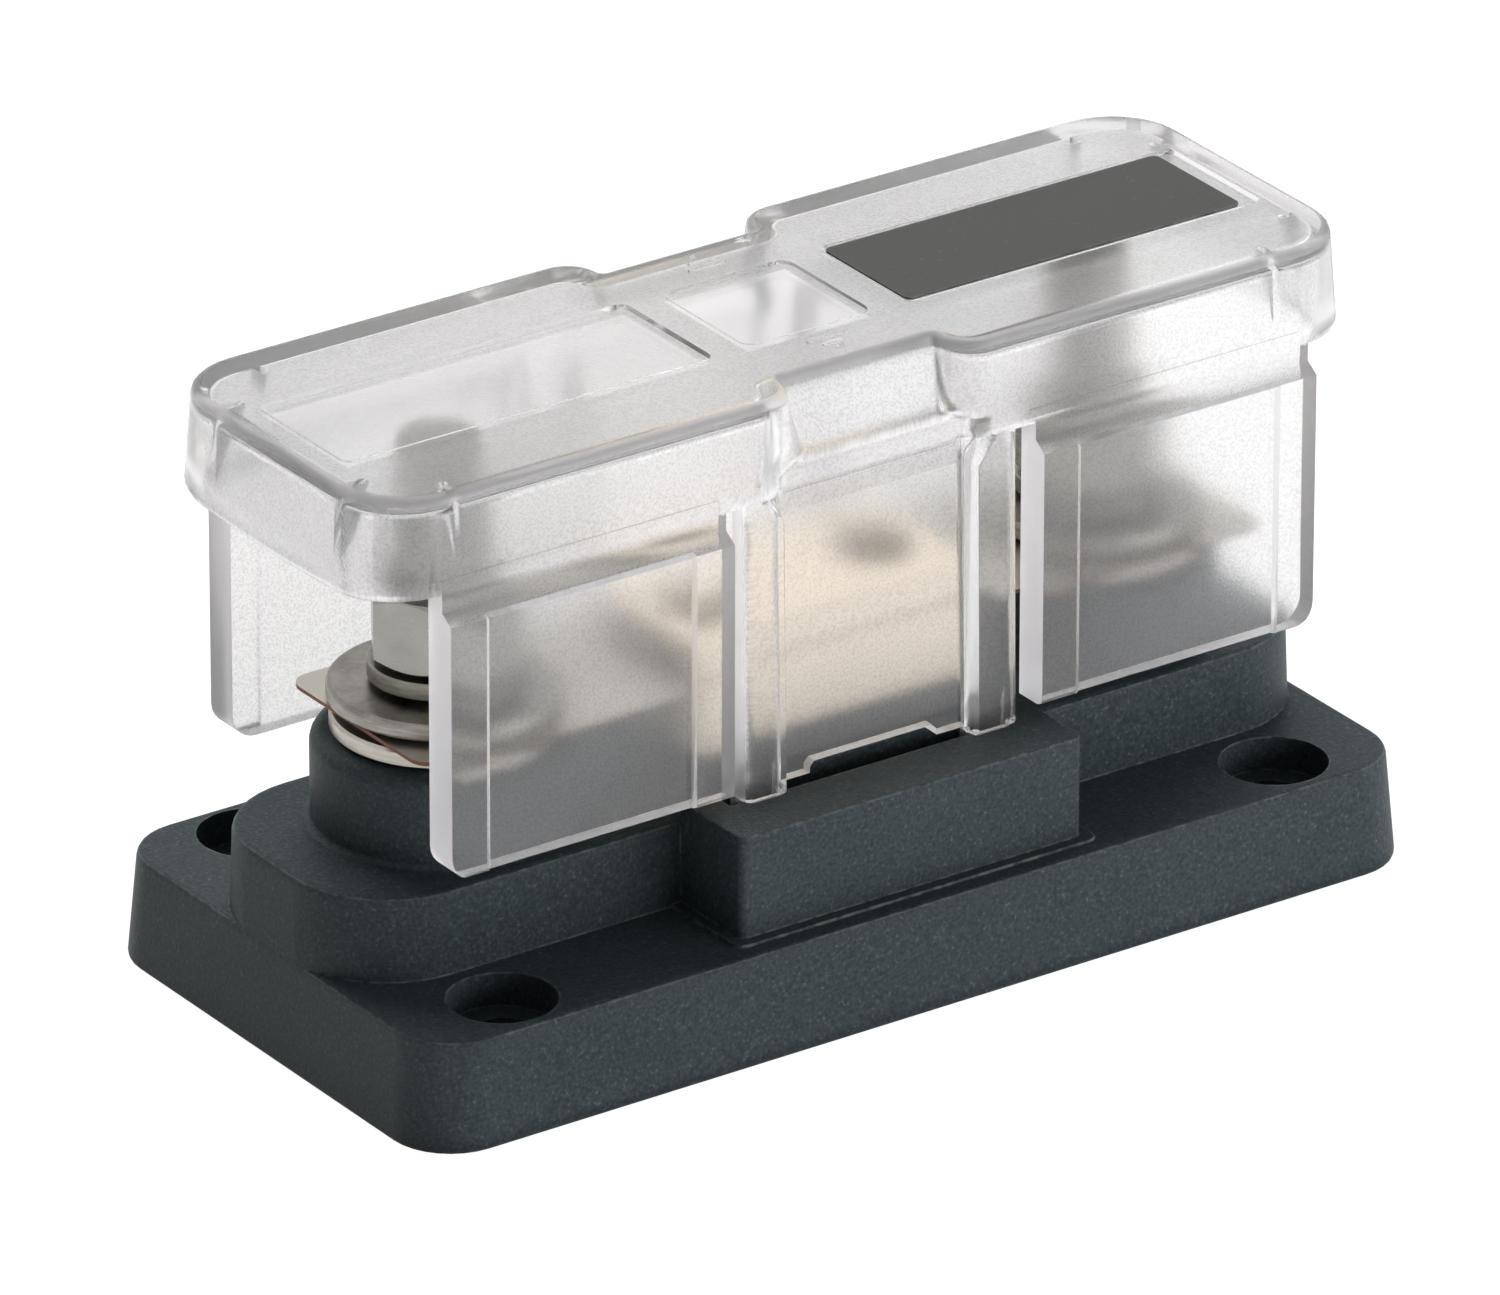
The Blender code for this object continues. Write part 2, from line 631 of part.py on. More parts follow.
def screw_hole():
    profile = [
        (0.0, PLATE_TOP + PASS),
        (SCREW_HEAD_RADIUS, PLATE_TOP + PASS),
        (SCREW_HEAD_RADIUS, SCREW_HEAD_FLOOR),
        (SCREW_HOLE_RADIUS, SCREW_HEAD_FLOOR),
        (SCREW_HOLE_RADIUS, -PASS),
        (0.0, -PASS),
    ]
    return turned("screw_hole", profile, steps=32)


def placed_copy(obj, name, place):
    copy = add_object(name, obj.data, CUTTERS)
    for source in obj.modifiers:
        if source.type == "SCREW":
            screw = copy.modifiers.new("turn", "SCREW")
            screw.steps = source.steps
            screw.render_steps = source.steps
            screw.use_merge_vertices = True
            screw.merge_threshold = 0.00001
    copy.location = (*place, 0.0)
    return copy


def pocket_row(base, name, inner, outer, ceiling, limit):
    """Row of pockets on both sides of both middles, as many as fit below the limit."""
    start = POCKET_START - POCKET_LENGTH / 2.0
    index = 0
    while start + POCKET_LENGTH < limit:
        low = (start, inner)
        high = (start + POCKET_LENGTH, outer)
        outline = rounded_rectangle(low, high, POCKET_CORNER, 2)
        placing = upright((ceiling - PASS) / 2.0)
        cutter = flat_shape(name + str(index), [outline], ceiling + PASS, placing)
        mirror(cutter, True, True)
        combine(base, cutter, "DIFFERENCE")
        start += POCKET_PITCH
        index += 1


def cut_underside(base):
    pocket_row(
        base,
        "side_pocket_",
        SIDE_POCKET_INNER,
        SIDE_POCKET_OUTER,
        SIDE_POCKET_CEILING,
        SIDE_POCKET_LIMIT,
    )
    pocket_row(
        base,
        "spine_pocket_",
        SPINE_POCKET_INNER,
        SPINE_POCKET_OUTER,
        SPINE_POCKET_CEILING,
        SPINE_POCKET_LIMIT,
    )


def cut_stud_seat(base, side, x):
    """Hexagonal pocket for the bolt head and the bore above it."""
    head = hexagon(
        "head_pocket_" + side,
        POCKET_FLAT,
        -PASS,
        STUD_HEAD_TOP + FIT,
        0.0,
        (x, 0.0),
    )
    combine(base, head, "DIFFERENCE")
    profile = [
        (0.0, PEDESTAL_TOP + PASS),
        (BORE_RADIUS, PEDESTAL_TOP + PASS),
        (BORE_RADIUS, STUD_HEAD_BOTTOM),
        (0.0, STUD_HEAD_BOTTOM),
    ]
    bore = turned("bore_" + side, profile, (x, 0.0), steps=40)
    bore.rotation_euler.z = BORE_TURN
    combine(base, bore, "DIFFERENCE")


def build_base(material):
    base = base_plate()
    combine(base, base_spine(), "UNION")
    pedestal = base_pedestal()
    pedestal.location.x = STUD_X
    combine(base, pedestal, "UNION")
    combine(base, placed_copy(pedestal, "pedestal_left", (-STUD_X, 0.0)), "UNION")
    combine(base, ledge_foot(), "UNION")
    combine(base, base_ledge(), "UNION")
    combine(base, ledge_slot(), "DIFFERENCE")
    first = screw_hole()
    first.location = (SCREW_X, SCREW_Y, 0.0)
    combine(base, first, "DIFFERENCE")
    for name, x, y in (
        ("screw_hole_b", -SCREW_X, SCREW_Y),
        ("screw_hole_c", SCREW_X, -SCREW_Y),
        ("screw_hole_d", -SCREW_X, -SCREW_Y),
    ):
        combine(base, placed_copy(first, name, (x, y)), "DIFFERENCE")
    cut_stud_seat(base, "left", -STUD_X)
    cut_stud_seat(base, "right", STUD_X)
    cut_underside(base)
    give_material(base, material)
    return base


# Terminal studs: domed bolts with their hexagonal heads held under the base

def build_stud(side, x, material):
    dome = [
        (STUD_RADIUS * math.sin(t), STUD_TOP - STUD_DOME * (1.0 - math.cos(t)))
        for t in [math.radians(a) for a in (0.0, 22.0, 44.0, 66.0, 90.0)]
    ]
    profile = dome + [(STUD_RADIUS, STUD_HEAD_BOTTOM + EMBED), (0.0, STUD_HEAD_BOTTOM + EMBED)]
    profile[0] = (0.0, STUD_TOP)
    stud = turned("stud_" + side, profile, (x, 0.0), HOLDER)
    head = hexagon(
        "head_" + side, STUD_HEAD_FLAT, STUD_HEAD_BOTTOM, STUD_HEAD_TOP, 0.0, (x, 0.0)
    )
    combine(stud, head, "UNION")
    give_material(stud, material)
    return stud


def build_plug(side, x, material):
    """Insulating plug that closes the bolt head's pocket from below."""
    top = STUD_HEAD_BOTTOM - FIT
    plug = hexagon(
        "stud_plug_" + side, STUD_HEAD_FLAT, PLUG_BOTTOM, top, 0.0, (x, 0.0), HOLDER
    )
    round_edges(plug, PLUG_EDGE, 1)
    give_material(plug, material)
    return plug


# Stack on each stud: contact plate, flat washer, split washer and nut

def build_ring(name, radius, bottom, thickness, edge, x, material):
    """Flat ring with its outer rim broken top and bottom."""
    top = bottom + thickness
    profile = [
        (STACK_BORE_RADIUS, top),
        (radius - edge, top),
        (radius, top - edge),
        (radius, bottom + edge),
        (radius - edge, bottom),
        (STACK_BORE_RADIUS, bottom),
    ]
    ring = turned(name, profile, (x, 0.0), HOLDER)
    give_material(ring, material)
    return ring


def build_spring_washer(side, x, material):
    """One square turn of wire, cut through and sprung up at the cut."""
    loops = []
    for step in range(ROUND_STEPS + 1):
        share = step / ROUND_STEPS
        angle = math.radians(SPRING_SWEEP * share)
        bottom = SPRING_BOTTOM + SPRING_RISE * share
        top = bottom + SPRING_WIRE
        inner = (STACK_BORE_RADIUS * math.cos(angle), STACK_BORE_RADIUS * math.sin(angle))
        outer = (SPRING_RADIUS * math.cos(angle), SPRING_RADIUS * math.sin(angle))
        loops.append([(*inner, bottom), (*outer, bottom), (*outer, top), (*inner, top)])
    washer = loft("spring_washer_" + side, loops, HOLDER)
    washer.location = (x, 0.0, 0.0)
    give_material(washer, material)
    return washer


def build_nut(side, x, turn, material):
    """Hexagonal nut whose corners are turned down by a cone at both ends."""
    top = NUT_BOTTOM + NUT_HEIGHT
    name = "hex_nut_" + side
    nut = hexagon(name, NUT_FLAT, NUT_BOTTOM, top, turn, (x, 0.0), HOLDER)
    corner = NUT_FLAT / math.sqrt(3.0)
    face = NUT_FLAT / 2.0 - NUT_CHAMFER_INSET
    wide = corner + PASS
    drop = (wide - face) * NUT_CHAMFER / (corner - face)
    profile = [
        (face, top),
        (wide, top - drop),
        (wide, NUT_BOTTOM + drop),
        (face, NUT_BOTTOM),
        (STACK_BORE_RADIUS, NUT_BOTTOM),
        (STACK_BORE_RADIUS, top),
    ]
    chamfer = turned("nut_form_" + side, profile, (x, 0.0))
    chamfer.data.flip_normals()
    combine(nut, chamfer, "INTERSECT")
    give_material(nut, material)
    return nut


# Fuse: metal strip between the two halves of its body, held by two rivets

def strip_outline():
    half = STRIP_HALF_LENGTH
    width = STRIP_HALF_WIDTH
    inner = half - STRIP_CORNER
    side = width - STRIP_CORNER
    quarter = [
        (STRIP_LINK_END, STRIP_LINK),
        (STRIP_LINK_END + STRIP_LINK_RUN, STRIP_NECK),
        (STRIP_FLARE_START, STRIP_NECK),
        (STRIP_FLARE_END, width),
    ]
    quarter += list(reversed(arc((inner, side), STRIP_CORNER, 0.0, 90.0)))
    upper = [(-x, y) for x, y in reversed(quarter)] + quarter
    lower = [(x, -y) for x, y in reversed(upper)]
    return [(FUSE_CENTRE + x, y) for x, y in upper + lower]


def slot_outline(centre):
    right = arc((centre + SLOT_TRAVEL, 0.0), STACK_BORE_RADIUS, -90.0, 90.0, 10)
    left = arc((centre - SLOT_TRAVEL, 0.0), STACK_BORE_RADIUS, 90.0, 270.0, 10)
    return right + left


def build_strip(material):
    radius = RIVET_RADIUS + FIT
    outlines = [
        strip_outline(),
        slot_outline(FUSE_CENTRE + STUD_X),
        slot_outline(FUSE_CENTRE - STUD_X),
        arc((FUSE_CENTRE + RIVET_X, 0.0), radius, 0.0, 345.0, 23),
        arc((FUSE_CENTRE - RIVET_X, 0.0), radius, 0.0, 345.0, 23),
    ]
    middle = (STRIP_BOTTOM + STRIP_TOP) / 2.0
    strip = flat_shape("fuse_strip", outlines, STRIP_THICK, upright(middle), HOLDER)
    give_material(strip, material)
    return strip


def build_body_half(name, bottom, top, channel_bottom, channel_top, material):
    low = (FUSE_CENTRE - BODY_HALF_LENGTH, -BODY_HALF_WIDTH, bottom)
    high = (FUSE_CENTRE + BODY_HALF_LENGTH, BODY_HALF_WIDTH, top)
    body = block(name, low, high, 0.0, HOLDER)
    round_corners(body, BODY_CORNER, 4)
    round_edges(body, BODY_EDGE, 1)
    reach = BODY_HALF_LENGTH + PASS
    channel = block(
        name + "_channel",
        (FUSE_CENTRE - reach, -STRIP_NECK - FIT, channel_bottom),
        (FUSE_CENTRE + reach, STRIP_NECK + FIT, channel_top),
    )
    combine(body, channel, "DIFFERENCE")
    radius = RIVET_RADIUS + FIT
    above = top + PASS
    below = bottom - PASS
    profile = [(0.0, above), (radius, above), (radius, below), (0.0, below)]
    hole = turned(name + "_hole", profile, (FUSE_CENTRE + RIVET_X, 0.0), steps=24)
    combine(body, hole, "DIFFERENCE")
    other = placed_copy(hole, name + "_hole_b", (FUSE_CENTRE - RIVET_X, 0.0))
    combine(body, other, "DIFFERENCE")
    give_material(body, material)
    return body


def build_rivet(side, x, material):
    crown = BODY_TOP + FIT
    foot = BODY_BOTTOM - FIT
    profile = [
        (0.0, crown + RIVET_HEAD),
        (RIVET_CROWN_RADIUS, crown + RIVET_HEAD),
        (RIVET_HEAD_RADIUS, crown + RIVET_RIM),
        (RIVET_HEAD_RADIUS, crown),
        (RIVET_RADIUS, crown),
        (RIVET_RADIUS, foot),
        (RIVET_HEAD_RADIUS, foot),
        (RIVET_HEAD_RADIUS, foot - RIVET_RIM),
        (RIVET_CROWN_RADIUS, foot - RIVET_HEAD),
        (0.0, foot - RIVET_HEAD),
    ]
    rivet = turned("fuse_rivet_" + side, profile, (x, 0.0), HOLDER, 32)
    give_material(rivet, material)
    return rivet


def build_fuse(strip_material, body_material, rivet_material):
    build_strip(strip_material)
    parting = (STRIP_BOTTOM + STRIP_TOP) / 2.0
    build_body_half(
        "fuse_body_lower",
        BODY_BOTTOM,
        parting - FIT / 2.0,
        STRIP_BOTTOM - FIT,
        parting + PASS,
        body_material,
    )
    build_body_half(
        "fuse_body_upper",
        parting + FIT / 2.0,
        BODY_TOP,
        parting - PASS,
        STRIP_TOP + FIT,
        body_material,
    )
    build_rivet("left", FUSE_CENTRE - RIVET_X, rivet_material)
    build_rivet("right", FUSE_CENTRE + RIVET_X, rivet_material)


# Cover cap: one thin skin over both lobes and the waist

def four_quarters(quarter):
    """Whole outline from its first quarter, which runs from the waist to the end wall."""
    right = quarter + [(x, -y) for x, y in reversed(quarter[:-1])]
    return right + [(-x, -y) for x, y in right]


def cap_outline(end, side, corner, waist, waist_half, shoulder, share):
    """Quarter of the plan: waist, double bend out to the lobe, corner and end wall."""
    run = shoulder - waist_half
    rise = side - waist
    radii = (run * run + rise * rise) / (2.0 * rise)
    inner = radii * share
    outer = radii - inner
    turn = 2.0 * math.degrees(math.atan2(rise, run))
    points = arc((waist_half, waist + inner), inner, -90.0, -90.0 + turn)
    points += arc((shoulder, side - outer), outer, 90.0 + turn, 90.0)[1:]
    points += arc((end - corner, side - corner), corner, 90.0, 0.0, 8)
    straight = side - corner
    points += [(end, straight * part / 4.0) for part in (3, 2, 1, 0)]
    return four_quarters(points)


def lip_height(y):
    """Underside of the lip: lowest at the middle of the end walls."""
    return LIP_MIDDLE + LIP_RISE * (y / LOBE_SIDE_LIP) ** 2


def between(bottom, top, z, low, high):
    return bottom + (top - bottom) * (z - low) / (high - low)


def outer_loop(z, waist, waist_half, share, inset=0.0):
    low = LIP_MIDDLE
    end = between(LOBE_END_LIP, LOBE_END_TOP, z, low, COVER_TOP) - inset
    side = between(LOBE_SIDE_LIP, LOBE_SIDE_TOP, z, low, COVER_TOP) - inset
    shoulder = between(SHOULDER_FOOT, SHOULDER_TOP, z, low, COVER_TOP)
    corner = LOBE_CORNER - inset
    share += 0.2 * inset / MM
    return cap_outline(end, side, corner, waist - inset, waist_half, shoulder, share)


def cavity_loop(z, waist, waist_half, shoulder, inset=0.0):
    low = LIP_MIDDLE
    side = between(CAVITY_SIDE_LIP, CAVITY_SIDE_TOP, z, low, CAVITY_TOP) - inset
    corner = CAVITY_CORNER - inset
    return cap_outline(
        CAVITY_END - inset, side, corner, waist - inset, waist_half, shoulder, 0.5
    )


def at_height(outline, z):
    return [(x, y, z) for x, y in outline]


def along_lip(outline, above):
    return [(x, y, lip_height(y) + above) for x, y in outline]


def build_cap():
    loops = []
    for degrees in (90.0, 60.0, 30.0, 0.0):
        angle = math.radians(degrees)
        inset = COVER_ROUND * (1.0 - math.cos(angle))
        z = COVER_TOP - COVER_ROUND * (1.0 - math.sin(angle))
        outline = outer_loop(z, WAIST_TOP, PRESS_HALF_TOP, PRESS_SIDE_SHARE, inset)
        loops.append(at_height(outline, z))
    levels = (
        (PRESS_FOOT_Z, PRESS_FOOT, PRESS_HALF_FOOT, PRESS_SIDE_SHARE),
        (STOP_TOP_Z, STOP_FACE, PRESS_HALF_FOOT, PRESS_SIDE_SHARE),
        (STOP_BOTTOM_Z, STOP_FACE, STOP_LOW_HALF, WAIST_SIDE_SHARE),
        (STOP_FADE_Z, WAIST_LOW, WAIST_LOW_HALF, WAIST_SIDE_SHARE),
    )
    for z, waist, half, share in levels:
        loops.append(at_height(outer_loop(z, waist, half, share), z))
    for degrees in (0.0, 45.0, 90.0):
        angle = math.radians(degrees)
        inset = LIP_ROUND * (1.0 - math.cos(angle))
        above = LIP_ROUND * (1.0 - math.sin(angle))
        z = LIP_MIDDLE + LIP_RISE
        outline = outer_loop(z, WAIST_LOW, WAIST_LOW_HALF, WAIST_SIDE_SHARE, inset)
        loops.append(along_lip(outline, above))
    low = (CAVITY_WAIST_LOW, CAVITY_WAIST_LOW_HALF, CAVITY_SHOULDER_LOW)
    foot = (CAVITY_WAIST_FOOT, CAVITY_WAIST_FOOT_HALF, CAVITY_SHOULDER_FOOT)
    roof = (CAVITY_WAIST_TOP, CAVITY_WAIST_TOP_HALF, CAVITY_SHOULDER_TOP)
    loops.append(along_lip(cavity_loop(LIP_MIDDLE + LIP_RISE, *low), 0.0))
    loops.append(at_height(cavity_loop(STOP_BOTTOM_Z, *low), STOP_BOTTOM_Z))
    loops.append(at_height(cavity_loop(PRESS_FOOT_Z, *foot), PRESS_FOOT_Z))
    for degrees in (0.0, 45.0, 90.0):
        angle = math.radians(degrees)
        inset = CAVITY_ROUND * (1.0 - math.cos(angle))
        z = CAVITY_TOP - CAVITY_ROUND * (1.0 - math.sin(angle))
        loops.append(at_height(cavity_loop(z, *roof, inset), z))
    return loft("cover", loops, HOLDER)


# Cover panels, tongues, hooks and gussets

def build_panel():
    """Side panel with its neck buried in the lobe's wall."""
    profile = [
        (PANEL_INNER, PANEL_BOTTOM),
        (PANEL_OUTER - PANEL_EDGE, PANEL_BOTTOM),
        (PANEL_OUTER - PANEL_EDGE_KNEE, PANEL_BOTTOM + PANEL_EDGE_KNEE),
        (PANEL_OUTER, PANEL_BOTTOM + PANEL_EDGE),
        (PANEL_OUTER, PANEL_SHOULDER),
        (PANEL_NECK, PANEL_NECK_Z),
        (PANEL_NECK, PANEL_BURIED),
        (PANEL_NECK - EMBED, PANEL_BURIED + EMBED),
        (PANEL_INNER + 1.1 * EMBED, PANEL_BURIED + EMBED),
        (PANEL_INNER, PANEL_BURIED - EMBED),
    ]
    middle = (PANEL_START + PANEL_END) / 2.0
    return flat_shape("panel", [profile], PANEL_END - PANEL_START, across_length(middle))


def panel_corner_cutter():
    """Piece that rounds the panel's outer bottom corner."""
    x = PANEL_END - PANEL_ROUND
    z = PANEL_BOTTOM + PANEL_ROUND
    curve = arc((x, z), PANEL_ROUND, 270.0, 360.0, 6)
    outline = curve + [(PANEL_END + PASS, z), (PANEL_END + PASS, PANEL_BOTTOM - PASS)]
    outline.append((x, PANEL_BOTTOM - PASS))
    depth = 2.0 * PANEL_OUTER + 2.0 * PASS
    cutter = flat_shape("panel_corner", [outline], depth, across_width(0.0))
    mirror(cutter, along_x=True)
    return cutter


def panel_recess():
    low = (PANEL_RECESS_START, PANEL_OUTER - PANEL_RECESS_DEPTH, PANEL_BOTTOM - PASS)
    high = (PANEL_RECESS_END, PANEL_OUTER + PASS, PANEL_RECESS_TOP)
    recess = block("panel_recess", low, high)
    mirror(recess, True, True)
    return recess


def tongue_outline(web, column, web_inner, column_inner, step_start, step_end, inset=0.0):
    """Plan of one tongue: web between two thicker columns, as a closed loop."""
    half = TONGUE_HALF - inset
    radius = TONGUE_ROUND
    web -= inset
    column -= inset
    web_inner += inset
    column_inner += inset
    outer = []
    inner = []
    for step in range(6):
        t = step / 5.0
        ease = t * t * (3.0 - 2.0 * t)
        x = step_start + (step_end - step_start) * t
        outer.append((x, web + (column - web) * ease))
        inner.append((x, web_inner + (column_inner - web_inner) * ease))
    outer += list(reversed(arc((half - radius, column - radius), radius, 0.0, 90.0, 3)))
    small = 0.5 * radius
    corner = arc((half - small, column_inner + small), small, 0.0, -90.0, 2)
    right = outer + corner + list(reversed(inner))
    left = [(-x, y) for x, y in reversed(right)]
    return right + left


def build_tongue():
    low = TONGUE_BOTTOM
    rise = (COLUMN_RISE_START, COLUMN_RISE_END)
    spread = (COLUMN_SPREAD_START, COLUMN_SPREAD_END)
    foot = (WEB_FOOT, COLUMN_FOOT, WEB_FOOT - WEB_THICK, CAVITY_SIDE_LIP)
    neck = (WEB_HEAD, COLUMN_HEAD, WEB_HEAD - WEB_THICK, PANEL_INNER)
    buried = (
        WEB_HEAD - EMBED,
        COLUMN_HEAD - EMBED,
        CAVITY_WAIST_LOW + EMBED,
        CAVITY_SIDE_LIP + EMBED,
    )
    loops = [
        at_height(tongue_outline(*foot, *rise, TONGUE_EDGE), low),
        at_height(tongue_outline(*foot, *rise), low + TONGUE_EDGE),
        at_height(tongue_outline(*neck, *rise), TONGUE_STRAIGHT_TOP),
        at_height(tongue_outline(*neck, *spread), TONGUE_SPREAD_Z),
        at_height(tongue_outline(*neck, *spread), TONGUE_SHUT_Z),
        at_height(tongue_outline(*buried, *spread), TONGUE_BURIED),
    ]
    tongue = loft("tongue", loops)
    mirror(tongue, along_y=True)
    return tongue


def tongue_notch():
    """Cut that lifts the web's foot, and a wider finger notch at its middle."""
    outline = [
        (-COLUMN_START, TONGUE_BOTTOM - PASS),
        (COLUMN_START, TONGUE_BOTTOM - PASS),
        (COLUMN_START, WEB_BOTTOM),
        (NOTCH_HALF, WEB_BOTTOM),
        (NOTCH_HALF, NOTCH_TOP - NOTCH_CORNER),
        (NOTCH_HALF - NOTCH_CORNER, NOTCH_TOP),
        (-NOTCH_HALF + NOTCH_CORNER, NOTCH_TOP),
        (-NOTCH_HALF, NOTCH_TOP - NOTCH_CORNER),
        (-NOTCH_HALF, WEB_BOTTOM),
        (-COLUMN_START, WEB_BOTTOM),
    ]
    depth = 2.0 * COLUMN_FOOT + 2.0 * PASS
    return flat_shape("tongue_notch", [outline], depth, across_width(0.0))


def build_hook():
    """Leg that reaches into the slot behind the ledge."""
    outline = [
        (HOOK_INNER, HOOK_TOP),
        (HOOK_INNER, HOOK_BOTTOM + HOOK_TIP_RISE[0]),
        (HOOK_INNER + HOOK_TIP_INSET[0], HOOK_BOTTOM),
        (HOOK_OUTER - HOOK_TIP_INSET[1], HOOK_BOTTOM),
        (HOOK_OUTER, HOOK_BOTTOM + HOOK_TIP_RISE[1]),
        (HOOK_OUTER, HOOK_TOP),
        (CAVITY_SIDE_LIP + EMBED, HOOK_TOP + HOOK_LEAN),
    ]
    middle = (HOOK_START + HOOK_END) / 2.0
    hook = flat_shape("hook", [outline], HOOK_END - HOOK_START, across_length(middle))
    mirror(hook, True, True)
    return hook


def build_gussets():
    """Small ribs between the lobes' walls and their roof."""
    roof = CAVITY_TOP + EMBED
    wall = CAVITY_END + EMBED
    outline = [(wall, roof), (wall - GUSSET_DEPTH - EMBED, roof), (wall, GUSSET_FOOT)]
    end = flat_shape("gusset_end", [outline], GUSSET_THICK, across_width(GUSSET_END_Y))
    mirror(end, True, True)
    wall = CAVITY_SIDE_LIP + EMBED
    outline = [(wall, roof), (wall - GUSSET_DEPTH - EMBED, roof), (wall, GUSSET_FOOT)]
    side = flat_shape("gusset_side", [outline], GUSSET_THICK, across_length(GUSSET_SIDE_X))
    mirror(side, True, True)
    return end, side


def top_recess():
    low = (RECESS_INNER, -RECESS_HALF_WIDTH)
    high = (RECESS_OUTER, RECESS_HALF_WIDTH)
    outline = rounded_rectangle(low, high, RECESS_CORNER)
    bottom = COVER_TOP - RECESS_DEPTH
    depth = RECESS_DEPTH + PASS
    recess = flat_shape("top_recess", [outline], depth, upright(bottom + depth / 2.0))
    mirror(recess, along_x=True)
    return recess


def square_recess():
    half = SQUARE_HALF
    outline = rounded_rectangle((-half, -half), (half, half), SQUARE_CORNER)
    bottom = COVER_TOP - SQUARE_DEPTH
    depth = SQUARE_DEPTH + PASS
    return flat_shape("square_recess", [outline], depth, upright(bottom + depth / 2.0))


def build_cover(material):
    cover = build_cap()
    panel = build_panel()
    mirror(panel, True, True)
    combine(cover, panel, "UNION")
    combine(cover, build_tongue(), "UNION")
    combine(cover, tongue_notch(), "DIFFERENCE")
    combine(cover, build_hook(), "UNION")
    for gusset in build_gussets():
        combine(cover, gusset, "UNION")
    combine(cover, panel_corner_cutter(), "DIFFERENCE")
    combine(cover, panel_recess(), "DIFFERENCE")
    combine(cover, top_recess(), "DIFFERENCE")
    combine(cover, square_recess(), "DIFFERENCE")
    give_material(cover, material)
    return cover


def build_label(material):
    """Thin label lying in the recess of the right lobe."""
    low = (LABEL_START, -LABEL_HALF_WIDTH)
    high = (LABEL_END, LABEL_HALF_WIDTH)
    outline = rounded_rectangle(low, high, LABEL_CORNER, 3)
    bottom = COVER_TOP - RECESS_DEPTH + FIT
    middle = bottom + LABEL_THICK / 2.0
    label = flat_shape("label", [outline], LABEL_THICK, upright(middle), HOLDER)
    give_material(label, material)
    return label


def build_all():
    nylon = make_material("black_nylon", (0.030, 0.034, 0.035), 0.62)
    clear = make_material("clear_polycarbonate", (0.80, 0.80, 0.82), 0.25, 0.0, 0.45)
    dark_label = make_material("dark_label", (0.10, 0.10, 0.09), 0.45)
    steel = make_material("zinc_steel", (0.62, 0.62, 0.60), 0.35, 1.0)
    tinned = make_material("tinned_copper", (0.72, 0.70, 0.66), 0.30, 1.0)
    cream = make_material("cream_body", (0.72, 0.66, 0.58), 0.55)
    rivet = make_material("rivet_brass", (0.45, 0.34, 0.20), 0.35, 1.0)
    plug = make_material("plug_plastic", (0.05, 0.05, 0.05), 0.6)
    build_base(nylon)
    for side, x, turn in (
        ("left", -STUD_X, NUT_TURN_LEFT),
        ("right", STUD_X, NUT_TURN_RIGHT),
    ):
        build_stud(side, x, steel)
        build_plug(side, x, plug)
        name = "contact_plate_" + side
        build_ring(name, PLATE_RADIUS, CONTACT_BOTTOM, PLATE_THICK, RING_EDGE, x, tinned)
        name = "flat_washer_" + side
        build_ring(name, WASHER_RADIUS, WASHER_BOTTOM, WASHER_THICK, RING_EDGE, x, steel)
        build_spring_washer(side, x, steel)
        build_nut(side, x, turn, steel)
    build_fuse(tinned, cream, rivet)
    build_cover(clear)
    build_label(dark_label)


build_all()
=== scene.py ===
import math

import bmesh
import bpy
from mathutils import Matrix, Vector


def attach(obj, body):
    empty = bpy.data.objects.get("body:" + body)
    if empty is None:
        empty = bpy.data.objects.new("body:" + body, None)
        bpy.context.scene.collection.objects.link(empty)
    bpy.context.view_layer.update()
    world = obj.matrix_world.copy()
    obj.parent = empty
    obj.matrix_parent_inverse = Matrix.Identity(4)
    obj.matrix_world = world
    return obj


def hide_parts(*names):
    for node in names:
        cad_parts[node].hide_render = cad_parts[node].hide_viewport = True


MM = 0.001

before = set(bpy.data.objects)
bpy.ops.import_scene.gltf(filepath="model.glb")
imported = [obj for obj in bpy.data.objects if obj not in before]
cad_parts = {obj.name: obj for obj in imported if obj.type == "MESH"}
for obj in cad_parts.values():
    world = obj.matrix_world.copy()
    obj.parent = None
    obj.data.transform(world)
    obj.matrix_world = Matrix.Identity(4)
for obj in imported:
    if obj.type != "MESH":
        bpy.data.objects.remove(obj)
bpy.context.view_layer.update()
scene = bpy.context.scene

# Base: one moulding in black glass-filled nylon, with the plate, the spine, two pedestals and
# two latch ledges. It comes out of the mould with a fine even grain, its rims slightly rounded
# and rubbed paler where it has been handled.

JOIN_DISTANCE = 0.002 * MM
FLAT_ANGLE = math.radians(0.4)
RIM_ANGLE = math.radians(32.0)
RIM_STEPS = 2
SMOOTH_ANGLE = math.radians(40.0)


